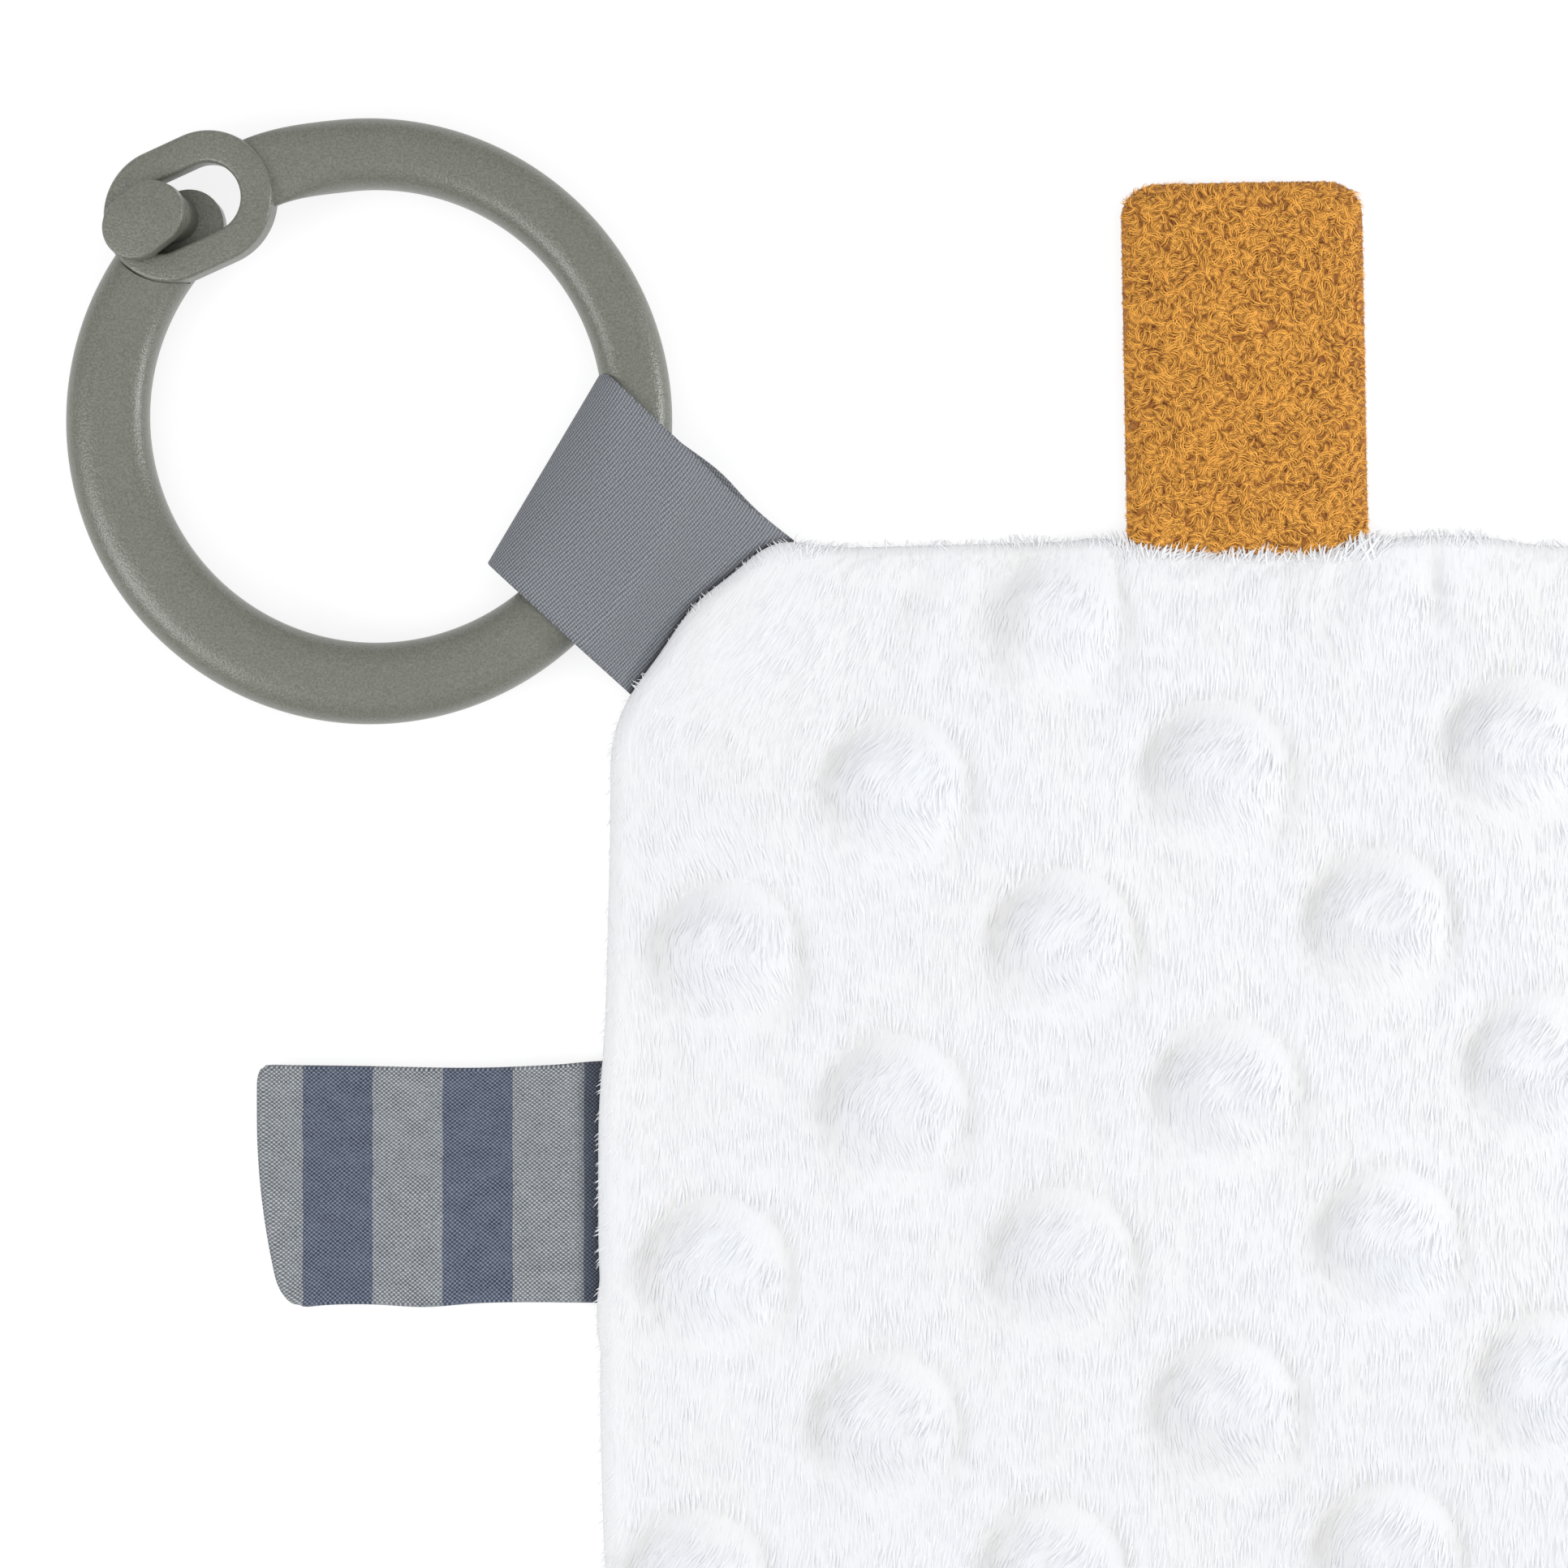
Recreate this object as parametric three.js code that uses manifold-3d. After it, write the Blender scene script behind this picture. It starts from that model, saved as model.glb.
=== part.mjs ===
// Crinkle toy: a small square cloth of dotted plush with a plastic link ring on a ribbon loop at one corner
// and a soft tab in the middle of each side. Millimetres, +Z up, lying face up.
// The origin is the middle of the back panel's underside, and the ring's corner is the one at -X, +Y.

import * as THREE from "three";
import { mergeVertices } from "three/addons/utils/BufferGeometryUtils.js";
import Module from "manifold-3d";

const wasm = await Module();
wasm.setup();

const degree = Math.PI / 180;
const quarterTurn = Math.PI / 2;

// Cloth: plush front and plain back, sewn face to face and turned, over a film and a thin wadding
const clothSide = 141; // from side to side at the middle, where the sides bow out most
const clothCorner = 26; // radius of the turned corners
const sideBow = 0.8; // how far the middle of a side stands out past its ends
const backThickness = 0.7;
const backRoll = 1; // how far the back's lower edge curls in under the seam
const filmThickness = 0.3;
const plushThickness = 1.6; // ground and pile together
const seamAllowance = 3; // turned-in edge round the filling
const seamRise = 0.9; // height of the widest line of the edge above the back panel
const edgeRoll = 1.7; // radius of the plush where it turns over the edge
const seamInset = edgeRoll / 3; // of the seam line, in under the widest line of the edge
const crownRise = 2.9; // how much higher the middle lies than the edge
const crownReach = 45; // distance from the edge at which the crown is full
const layerGap = 0.3; // between a filling layer and the plush round it

// Raised dots of the plush: rows half a pitch apart from each other
const dotPitch = 35;
const dotRowStep = 17.25;
const dotRadius = 8.3;
const dotRise = 2;
const dotSink = 1.2; // how deep a dot's skirt reaches into the plush
const dotProfile = [[0.3, 1], [0.7, 0.55], [1, 0]]; // shares of the radius and of the rise
const dotSlope = 3.3; // degrees that the rows climb towards +X
const dotFirst = [-20.8, 63.6]; // a dot of the row that is nearest the +Y side
const dotEdge = 6; // least distance from a dot's middle to the edge of the cloth

// Ring: an eccentric bar, stout on the peg's arm and slim on the eye's arm
const ringInnerRadius = 24.4;
const ringOuterRadius = 32.6;
const barOffset = 0.92; // between the centres of the outer and the inner circle
const barOffsetBearing = 220;
const barHeight = 7;
const barSquareness = 2.6; // exponent of the section, between an ellipse and a rectangle

// Clasp: a slotted eye on one arm, hooked over a headed peg on the other
const eyeBearing = 131.9; // seen from the ring's centre, as the next ones are
const eyeRadius = 29.7;
const eyeLengthBearing = 23;
const eyeLength = 19;
const eyeWidth = 14.4;
const eyeSquareness = 2.2;
const eyeThickness = 3;
const slotLength = 13;
const slotWidth = 7.6;
const slotSquareness = 3;
const slotShift = -0.5; // along the eye, towards the peg
const eyeTilt = 9; // the end over the peg's arm lies lower
const edgeRound = 0.4;
const armUnderEye = 3; // least thickness of the peg's arm below the eye
const eyeClearance = 0.4; // between the eye and what lies above and below it
const eyeRecessPlay = 0.5; // round the eye, in the recess of the peg's arm
const pegArmBearing = 135; // middle of the round end of the peg's arm
const eyeArmInside = 1.25; // how far the arm runs in under the eye's rim
const eyeRampLength = 10; // over which the bar thins and rises to the eye, along its middle line
const eyeArmStep = 0.9; // how much the eye stands proud of its arm
const eyeArmRoot = 2; // thickness of the arm where it runs into the eye
const pegLength = 5;
const pegWidth = 4.4;
const pegSlotPlay = 1.8; // between the peg and the end of the slot
const headLength = 9;
const headWidth = 6.5;
const headSquareness = 2.5;
const headThickness = 2.2;
const headReach = [-1.8, 0.1]; // from the peg's middle to the head's, along and across the eye
const headTurn = 13;

// Corner ribbon: a twill strip folded round the ring's bar and sewn into the corner
const ribbonThickness = 0.6;
const ribbonFoldNear = [18.7, -10.4]; // fold's ends, outwards from the corner and along the seam
const ribbonFoldFar = [25.4, 11.9];
const ribbonSeamNear = -9.45; // ends of the sewn edge, along the seam
const ribbonSeamFar = 13.65;
const ribbonClearance = 0.3;
const ribbonPlay = 0.4; // past the stoutest place of the bar
const ribbonRootHalf = 0.75;
const ribbonRootClearance = 0.5; // between the cloth's corner and the ribbon's root
const ribbonPinch = 3; // length over which the two layers are sewn together
const ringBearing = 191.9; // of the ring's centre, seen from the far end of the fold
const barShoulder = 2.2; // width of the bar's rounded shoulder
const ribbonFall = 0.55; // share of that shoulder over which the ribbon already falls to the seam
const ribbonSag = 1.6; // exponent of the fall: 1 is straight, more hangs

// Side tabs: two of teddy fleece, two of striped jersey folded into a flat loop
const tabClearance = 0.3; // between the cloth's edge and a tab's root
const tabMiddle = 2; // height of a tab's middle layer line
const tabRootHalf = 1.1; // a tab's root is a half round of this radius
const rootBacks = [0.9, 0.5]; // places on that half round, as shares of the radius
const fleeceWidth = 26.3;
const fleeceLength = 38.6;
const fleeceThickness = 1.85; // of one layer, with its pile
const fleeceCorner = 3.8;
const fleeceSpread = 5; // distance from the root at which a tab has its full thickness
const fleeceGap = 0.3;
const topTabShift = -0.9;
const jerseyWidth = 25.8;
const jerseyLength = 36.6;
const jerseyThickness = 1.1;
const jerseySlit = 0.4;
const jerseyCorner = 4;
const jerseyPinch = 3;
const leftLoopShift = 0.95;

// Closed bodies from loops of points

function closedBody(points, faces) {
  let volume = 0;
  for (let k = 0; k < faces.length; k += 3) {
    const [a, b, c] = [points[faces[k]], points[faces[k + 1]], points[faces[k + 2]]];
    volume += a.dot(new THREE.Vector3().crossVectors(b, c));
  }
  const outward = volume > 0 ? faces : faces.slice().reverse();
  const geometry = new THREE.BufferGeometry().setFromPoints(points);
  geometry.setIndex(outward);
  return geometry;
}

function joinRows(faces, first, count, rows, flip) {
  for (let row = 0; row + 1 < rows; row += 1) {
    for (let k = 0; k < count; k += 1) {
      const a = first + row * count + k;
      const b = first + row * count + ((k + 1) % count);
      const corners = [a, b, b + count, a, b + count, a + count];
      faces.push(...(flip ? corners.reverse() : corners));
    }
  }
}

// A row of loops, all with as many points, joined and closed by a fan at each end
function loft(loops) {
  const count = loops[0].length;
  const points = loops.flat();
  const faces = [];
  joinRows(faces, 0, count, loops.length, false);
  const lastRow = (loops.length - 1) * count;
  for (const [start, loop, flip] of [[0, loops[0], true], [lastRow, loops[loops.length - 1], false]]) {
    const middle = loop.reduce((sum, point) => sum.add(point), new THREE.Vector3()).divideScalar(count);
    const hub = points.push(middle) - 1;
    for (let k = 0; k < count; k += 1) {
      const a = start + k;
      const b = start + ((k + 1) % count);
      faces.push(...(flip ? [b, a, hub] : [a, b, hub]));
    }
  }
  return closedBody(points, faces);
}

// Two rows of loops, one inside the other, joined into a body with a way through it
function band(outerLoops, innerLoops) {
  const count = outerLoops[0].length;
  const rows = outerLoops.length;
  const points = [...outerLoops.flat(), ...innerLoops.flat()];
  const faces = [];
  joinRows(faces, 0, count, rows, false);
  joinRows(faces, count * rows, count, rows, true);
  for (const [row, flip] of [[0, true], [rows - 1, false]]) {
    for (let k = 0; k < count; k += 1) {
      const a = row * count + k;
      const b = row * count + ((k + 1) % count);
      const corners = [a, b, b + count * rows, a, b + count * rows, a + count * rows];
      faces.push(...(flip ? corners.reverse() : corners));
    }
  }
  return closedBody(points, faces);
}

function solidOf(geometry) {
  const bare = geometry.clone();
  bare.deleteAttribute("normal");
  bare.deleteAttribute("uv");
  const merged = mergeVertices(bare, 1e-5);
  const vertProperties = Float32Array.from(merged.attributes.position.array);
  const triVerts = Uint32Array.from(merged.index.array);
  return new wasm.Manifold(new wasm.Mesh({ numProp: 3, vertProperties, triVerts }));
}

function geometryOf(solid) {
  const { vertProperties, triVerts } = solid.getMesh();
  const geometry = new THREE.BufferGeometry();
  geometry.setAttribute("position", new THREE.BufferAttribute(vertProperties, 3));
  geometry.setIndex(new THREE.BufferAttribute(triVerts, 1));
  return geometry;
}

function smooth(share) {
  const held = THREE.MathUtils.clamp(share, 0, 1);
  return held * held * (3 - 2 * held);
}

// Cloth outline: four bowed sides and four round corners, drawn in by a distance

const cornerCentre = clothSide / 2 - sideBow - clothCorner;
const innerInset = 0.9 * clothCorner; // of the last loop that follows the corners

function clothLoop(inset, height) {
  const sideSteps = 3;
  const cornerSteps = 5;
  const loop = [];
  for (let side = 0; side < 4; side += 1) {
    const turn = side * quarterTurn;
    const place = (along, out) => {
      const point = new THREE.Vector3(along, out, height);
      loop.push(point.applyAxisAngle(new THREE.Vector3(0, 0, 1), -turn));
    };
    for (let k = 0; k < sideSteps; k += 1) {
      const share = (2 * k) / sideSteps - 1;
      place(share * cornerCentre, clothSide / 2 - sideBow * share * share - inset);
    }
    for (let k = 0; k < cornerSteps; k += 1) {
      const angle = (quarterTurn * k) / cornerSteps;
      const radius = clothCorner - inset;
      place(cornerCentre + radius * Math.sin(angle), cornerCentre + radius * Math.cos(angle));
    }
  }
  return loop;
}

function insetOf(x, y) {
  const overX = Math.abs(x) - cornerCentre;
  const overY = Math.abs(y) - cornerCentre;
  if (overX > 0 && overY > 0) return clothCorner - Math.hypot(overX, overY);
  return clothSide / 2 - Math.max(Math.abs(x), Math.abs(y));
}

// Height of the plush above a place that lies so far in from the edge
function plushTop(inset) {
  const roll = Math.min(inset / edgeRoll, 1);
  const crown = Math.min(inset / crownReach, 1);
  const edge = backThickness + seamRise + edgeRoll * Math.sqrt(1 - (1 - roll) ** 2);
  return edge + crownRise * Math.sin(crown * quarterTurn);
}

// Loops that follow the crown from one inset to the middle, at a depth below the plush's face
function crownLoops(insets, depth) {
  const loops = insets.map((inset) => clothLoop(inset, plushTop(inset) - depth));
  const innermost = clothLoop(insets[insets.length - 1], plushTop(clothSide / 2) - depth);
  const middle = innermost.map((point) => point.clone().multiply(new THREE.Vector3(0.5, 0.5, 1)));
  return [...loops, middle];
}

// Back panel: flat where the toy lies on it, its lower edge curled in under the seam
const backPanel = loft([
  clothLoop(backRoll + seamInset, 0),
  clothLoop(seamInset, backThickness / 2),
  clothLoop(seamInset, backThickness),
]);

// Crinkle film: lies loose on the back panel inside the seam
const fillingInset = seamAllowance + layerGap;
const crinkleFilm = loft([
  clothLoop(fillingInset, backThickness),
  clothLoop(fillingInset, backThickness + filmThickness),
]);

// Wadding: fills the crown between the film and the plush
const fillingInsets = [0, 0.3, 1].map((share) => {
  return THREE.MathUtils.lerp(fillingInset, innerInset, share);
});
const wadding = loft([
  clothLoop(fillingInset, backThickness + filmThickness),
  ...crownLoops(fillingInsets, plushThickness + layerGap),
]);

// Front panel: a crowned shell of plush with its raised dots, open below to the filling
function plushDot(x, y, rise) {
  const ground = plushTop(insetOf(x, y));
  const steps = 7;
  const levels = dotProfile.map(([share, lift]) => [share * dotRadius, ground + rise * lift]);
  levels.push([dotRadius, ground - dotSink]);
  return loft(levels.map(([radius, height]) => {
    const loop = [];
    for (let k = 0; k < steps; k += 1) {
      const angle = (2 * Math.PI * k) / steps;
      loop.push(new THREE.Vector3(x + radius * Math.cos(angle), y + radius * Math.sin(angle), height));
    }
    return loop;
  }));
}

const plushInsets = [0, 0.4 * edgeRoll, 1.2 * edgeRoll, innerInset / 3, innerInset];
const plushBody = loft([clothLoop(seamInset, backThickness), ...crownLoops(plushInsets, 0)]);
const fillingSpace = loft([
  clothLoop(seamAllowance, backThickness - plushThickness),
  clothLoop(seamAllowance, plushTop(seamAllowance) - plushThickness),
  ...crownLoops(fillingInsets, plushThickness),
]);
const dotBounds = loft([clothLoop(edgeRoll, 0), clothLoop(edgeRoll, plushTop(clothSide / 2) + 2 * dotRise)]);

let plush = solidOf(plushBody);
const dotBound = solidOf(dotBounds);
const dotRows = Math.ceil(clothSide / dotRowStep);
const dotColumns = Math.ceil(clothSide / dotPitch);
for (let row = 0; row <= dotRows; row += 1) {
  for (let column = -dotColumns; column <= dotColumns; column += 1) {
    const x = dotFirst[0] + dotPitch * (column + (row % 2) / 2);
    const y = dotFirst[1] - dotRowStep * row + Math.tan(dotSlope * degree) * (x - dotFirst[0]);
    const inset = insetOf(x, y);
    if (inset > dotEdge) {
      const rise = dotRise * smooth(inset / dotRadius);
      plush = plush.add(solidOf(plushDot(x, y, rise)).intersect(dotBound));
    }
  }
}
const frontPanel = geometryOf(plush.subtract(solidOf(fillingSpace)));

// Corner ribbon and the place of the ring in its fold

const cornerOutwards = new THREE.Vector2(-Math.SQRT1_2, Math.SQRT1_2);
const cornerAlong = new THREE.Vector2(Math.SQRT1_2, Math.SQRT1_2);
const cornerArcCentre = new THREE.Vector2(-cornerCentre, cornerCentre);
const cornerTip = cornerArcCentre.clone().addScaledVector(cornerOutwards, clothCorner);

function fromCorner(out, along) {
  return cornerTip.clone().addScaledVector(cornerOutwards, out).addScaledVector(cornerAlong, along);
}

const foldNear = fromCorner(...ribbonFoldNear);
const foldFar = fromCorner(...ribbonFoldFar);
const foldToRing = ringInnerRadius - ribbonThickness - ribbonClearance;
const ringCentre = foldFar.clone().add(
  new THREE.Vector2(Math.cos(ringBearing * degree), Math.sin(ringBearing * degree)).multiplyScalar(foldToRing),
);
const ringMiddle = ribbonThickness + ribbonClearance + barHeight / 2;
const ribbonSeamHeight = backThickness + seamRise;

// Distance along a line of travel, from inside a circle about the ring's centre to that circle
function reachCircle(from, heading, radius) {
  const offset = from.clone().sub(ringCentre);
  const along = offset.dot(heading);
  return Math.sqrt(along * along + radius * radius - offset.lengthSq()) - along;
}

// One section of the ribbon: a tear drop that opens over the bar and closes at the seam
function ribbonSection(share, grow) {
  const fold = foldNear.clone().lerp(foldFar, share);
  const seamPlace = THREE.MathUtils.lerp(ribbonSeamNear, ribbonSeamFar, share);
  const rootRadius = clothCorner + ribbonRootClearance;
  const rootAngle = Math.asin(seamPlace / rootRadius);
  const root = cornerArcCentre.clone();
  root.addScaledVector(cornerOutwards, rootRadius * Math.cos(rootAngle));
  root.addScaledVector(cornerAlong, rootRadius * Math.sin(rootAngle));
  const heading = root.clone().sub(fold);
  const length = heading.length();
  heading.normalize();

  const open = barHeight / 2 + ribbonClearance + grow;
  const closed = grow > 0 ? ribbonRootHalf : ribbonRootHalf / 5;
  const first = ribbonThickness - grow;
  const shoulder = reachCircle(fold, heading, ringInnerRadius + barShoulder);
  const stoutest = ringOuterRadius + barOffset + ribbonPlay;
  const past = reachCircle(fold, heading, stoutest - ribbonFall * barShoulder);
  const last = grow > 0 ? length : length - ribbonPinch;

  const way = [];
  for (const angle of [22.5, 45, 67.5, 90]) {
    const along = first + (shoulder - first) * (1 - Math.cos(angle * degree));
    way.push([along, ringMiddle, open * Math.sin(angle * degree)]);
  }
  for (const part of [0, 0.25, 0.5, 0.75, 1]) {
    const weight = (1 - part) ** ribbonSag;
    const middle = THREE.MathUtils.lerp(ribbonSeamHeight, ringMiddle, weight);
    way.push([THREE.MathUtils.lerp(past, last, part), middle, THREE.MathUtils.lerp(closed, open, weight)]);
  }
  const place = (along, height) => {
    return new THREE.Vector3(fold.x + heading.x * along, fold.y + heading.y * along, height);
  };
  const upper = way.map(([along, middle, half]) => place(along, middle + half));
  const lower = way.map(([along, middle, half]) => place(along, middle - half));
  return [place(first, ringMiddle), ...upper, ...lower.reverse()];
}

const ribbonStations = [0, 1, 2, 3, 4, 5, 6].map((k) => k / 6);
const cornerRibbon = band(
  ribbonStations.map((share) => ribbonSection(share, ribbonThickness)),
  ribbonStations.map((share) => ribbonSection(share, 0)),
);

// Link ring: one moulding of bar, slotted eye and headed peg

const barOffsetVector = new THREE.Vector2(
  Math.cos(barOffsetBearing * degree),
  Math.sin(barOffsetBearing * degree),
).multiplyScalar(barOffset);

function barEdges(angle) {
  const heading = new THREE.Vector2(Math.cos(angle), Math.sin(angle));
  const along = barOffsetVector.dot(heading);
  const across = ringOuterRadius ** 2 - barOffset ** 2 + along ** 2;
  return [ringInnerRadius, along + Math.sqrt(across)];
}

const eyeTop = ringMiddle - barHeight / 2 + armUnderEye + eyeClearance + eyeThickness
  + (eyeLength / 2) * Math.sin(eyeTilt * degree);
const eyeMiddle = new THREE.Vector3(
  ringCentre.x + eyeRadius * Math.cos(eyeBearing * degree),
  ringCentre.y + eyeRadius * Math.sin(eyeBearing * degree),
  eyeTop,
);
const eyeFrame = new THREE.Matrix4()
  .makeTranslation(eyeMiddle)
  .multiply(new THREE.Matrix4().makeRotationY(-eyeTilt * degree))
  .multiply(new THREE.Matrix4().makeRotationZ(eyeLengthBearing * degree));

// The eye's arm ends just inside the eye's rim, and its ramp lies before that
const armEnd = eyeBearing - (eyeLength / 2 - eyeArmInside) / eyeRadius / degree;
const rampStart = armEnd - eyeRampLength / eyeRadius / degree;

// Height of the bar's underside and top at an angle that runs from the peg's end round to the eye
function barLevels(angle) {
  const bottom = ringMiddle - barHeight / 2;
  const top = ringMiddle + barHeight / 2;
  const turn = angle / degree;
  const eyeShare = smooth((turn - 360 - rampStart) / (armEnd - rampStart));
  const eyeEndTop = eyeTop + (eyeLength / 2) * Math.sin(eyeTilt * degree) - eyeArmStep;
  return [
    THREE.MathUtils.lerp(bottom, eyeEndTop - eyeArmRoot, eyeShare),
    THREE.MathUtils.lerp(top, eyeEndTop, eyeShare),
  ];
}

function barSection(angle, narrowing) {
  const [inner, outer] = barEdges(angle);
  const [bottom, top] = barLevels(angle);
  const middle = (inner + outer) / 2;
  const halfWidth = ((outer - inner) / 2) * narrowing;
  const loop = [];
  const steps = 16;
  const power = 2 / barSquareness;
  for (let k = 0; k < steps; k += 1) {
    const spin = (2 * Math.PI * k) / steps;
    const across = Math.sign(Math.cos(spin)) * Math.abs(Math.cos(spin)) ** power;
    const up = Math.sign(Math.sin(spin)) * Math.abs(Math.sin(spin)) ** power;
    const radius = middle + halfWidth * across;
    loop.push(new THREE.Vector3(
      ringCentre.x + radius * Math.cos(angle),
      ringCentre.y + radius * Math.sin(angle),
      (bottom + top) / 2 + ((top - bottom) / 2) * up,
    ));
  }
  return loop;
}

// A length of the bar between two bearings, with a round end at its start where asked
function barLength(from, to, roundStart) {
  const start = from * degree;
  const finish = to * degree;
  const loops = [];
  if (roundStart) {
    const [inner, outer] = barEdges(start);
    const tipTurn = (outer - inner) / (inner + outer);
    for (const share of [0.98, 0.87, 0.6, 0.3]) {
      loops.push(barSection(start - tipTurn * share, Math.sqrt(1 - share * share)));
    }
  }
  const steps = Math.round((to - from) / 6);
  for (let k = 0; k <= steps; k += 1) {
    loops.push(barSection(start + ((finish - start) * k) / steps, 1));
  }
  return loft(loops);
}

// A flat slab with an oval outline, its upper and lower edges rounded, in the eye's own plane
function ovalSlab(length, width, squareness, low, high, round) {
  const steps = 20;
  const power = 2 / squareness;
  const outline = (inset, height) => {
    const loop = [];
    for (let k = 0; k < steps; k += 1) {
      const spin = (2 * Math.PI * (k + 0.5)) / steps;
      const along = Math.sign(Math.cos(spin)) * Math.abs(Math.cos(spin)) ** power;
      const across = Math.sign(Math.sin(spin)) * Math.abs(Math.sin(spin)) ** power;
      loop.push(new THREE.Vector3((length / 2 - inset) * along, (width / 2 - inset) * across, height));
    }
    return loop;
  };
  if (round === 0) return loft([outline(0, low), outline(0, high)]);
  return loft([outline(round, low), outline(0, low + round), outline(0, high - round), outline(round, high)]);
}

const pegMiddle = slotShift - slotLength / 2 + pegSlotPlay + pegLength / 2;
const eyeDrop = (eyeLength / 2) * Math.sin(eyeTilt * degree);
const pegFoot = -(eyeThickness + eyeClearance + armUnderEye / 2 + eyeDrop);
const eyePlate = ovalSlab(eyeLength, eyeWidth, eyeSquareness, -eyeThickness, 0, edgeRound);
const eyeSlot = ovalSlab(slotLength, slotWidth, slotSquareness, -eyeThickness - eyeClearance / 2, eyeClearance, 0);
eyeSlot.translate(slotShift, 0, 0);
const armRecess = ovalSlab(
  eyeLength + 2 * eyeRecessPlay,
  eyeWidth + 2 * eyeRecessPlay,
  eyeSquareness,
  -eyeThickness - eyeClearance,
  barHeight,
  0,
);
const peg = ovalSlab(pegLength, pegWidth, headSquareness, pegFoot, eyeClearance + headThickness / 2, 0);
peg.translate(pegMiddle, 0, 0);
const headTop = eyeClearance + headThickness;
const pegHead = ovalSlab(headLength, headWidth, headSquareness, eyeClearance, headTop, edgeRound);
pegHead.rotateZ(headTurn * degree);
pegHead.translate(pegMiddle + headReach[0], headReach[1], 0);
for (const piece of [eyePlate, eyeSlot, armRecess, peg, pegHead]) {
  piece.applyMatrix4(eyeFrame);
}

// The bar is lofted in two lengths, so that the recess is cut in the peg's arm alone
const pegArm = solidOf(barLength(pegArmBearing, 180, true)).subtract(solidOf(armRecess));
const eyeArm = solidOf(barLength(180, 360 + armEnd, false)).add(solidOf(eyePlate)).subtract(solidOf(eyeSlot));
const linkRing = geometryOf(pegArm.add(eyeArm).add(solidOf(peg)).add(solidOf(pegHead)));

// Side tabs, made along +Y from the cloth's edge

const tabAxis = tabClearance + tabRootHalf;
const rootHalf = (back) => tabRootHalf * Math.sqrt(1 - back * back);

// One layer of a fleece tab: flat on its other layer, crowned outside, with round outer corners
function fleeceLayer(side) {
  const fullHalf = fleeceGap / 2 + fleeceThickness;
  const end = fleeceLength;
  const stations = [
    ...rootBacks.map((back) => tabAxis - back * tabRootHalf),
    tabAxis,
    tabAxis + fleeceSpread / 3,
    tabAxis + fleeceSpread,
    end / 2,
    end - 2 * fleeceCorner,
    end - fleeceCorner,
    end - fleeceCorner / 2,
    end - fleeceCorner / 6,
    end,
  ];
  const loops = stations.map((along) => {
    const rooted = THREE.MathUtils.clamp((along - tabAxis) / fleeceSpread, 0, 1);
    const spread = Math.sin(rooted * quarterTurn);
    const root = rootHalf(Math.max(tabAxis - along, 0) / tabRootHalf);
    const corner = THREE.MathUtils.clamp((along - end + fleeceCorner) / fleeceCorner, 0, 1);
    const bend = Math.sqrt(1 - (0.97 * corner) ** 2);
    const half = THREE.MathUtils.lerp(root, fullHalf, spread) * (0.45 + 0.55 * bend);
    const width = fleeceWidth / 2 - fleeceCorner * (1 - bend);
    const points = [[-1, fleeceGap / 2], [1, fleeceGap / 2]];
    for (const share of [1, 0.9, 0.6, 0, -0.6, -0.9, -1]) {
      points.push([share, THREE.MathUtils.lerp(half, fleeceGap, 0.5 * share ** 6)]);
    }
    return points.map(([across, up]) => new THREE.Vector3(across * width, along, tabMiddle + side * up));
  });
  return loft(loops);
}

// A jersey strip folded flat in half: the fold is its outer end, both raw ends are in the seam
function jerseyLoop() {
  const openHalf = jerseySlit / 2;
  const fullHalf = openHalf + jerseyThickness;
  const section = (across, grow) => {
    const cornerShare = THREE.MathUtils.clamp((Math.abs(across) - jerseyWidth / 2) / jerseyCorner + 1, 0, 1);
    const end = jerseyLength - jerseyCorner * (1 - Math.sqrt(1 - (0.9 * cornerShare) ** 2));
    const half = grow > 0 ? fullHalf : openHalf;
    const tip = end - (fullHalf - half);
    const way = [[tip - 0.3 * half, 0.7 * half], [tip - half, half]];
    way.push([(end + tabAxis) / 2, half], [tabAxis + 2 * jerseyPinch, half]);
    for (const back of [0, ...rootBacks.slice().reverse()]) {
      if (grow > 0) way.push([tabAxis - back * tabRootHalf, rootHalf(back)]);
      else way.push([tabAxis + (1 - back) * jerseyPinch, openHalf / 2]);
    }
    const upper = way.map(([along, lift]) => new THREE.Vector3(across, along, tabMiddle + lift));
    const lower = way.map(([along, lift]) => new THREE.Vector3(across, along, tabMiddle - lift));
    return [new THREE.Vector3(across, tip, tabMiddle), ...upper, ...lower.reverse()];
  };
  const half = jerseyWidth / 2;
  const places = [half - jerseyCorner, half - jerseyCorner / 2, half - jerseyCorner / 6, half];
  const stations = [...places.map((place) => -place).reverse(), 0, ...places];
  return band(
    stations.map((across) => section(across, jerseyThickness)),
    stations.map((across) => section(across, 0)),
  );
}

// Finishes

function finish(color, roughness) {
  return new THREE.MeshStandardMaterial({ color, roughness, metalness: 0 });
}

const toy = new THREE.Group();

function addPiece(name, geometry, material, parent) {
  const mesh = new THREE.Mesh(geometry, material);
  mesh.name = name;
  parent.add(mesh);
  return mesh;
}

addPiece("front_panel", frontPanel, finish("#f1f1ef", 1), toy);
addPiece("back_panel", backPanel, finish("#e9e7e1", 0.95), toy);
addPiece("wadding", wadding, finish("#f6f6f4", 1), toy);
addPiece("crinkle_film", crinkleFilm, finish("#dfe3e6", 0.3), toy);
addPiece("corner_ribbon", cornerRibbon, finish("#83878e", 0.9), toy);
addPiece("link_ring", linkRing, finish("#7e8076", 0.42), toy);

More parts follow.
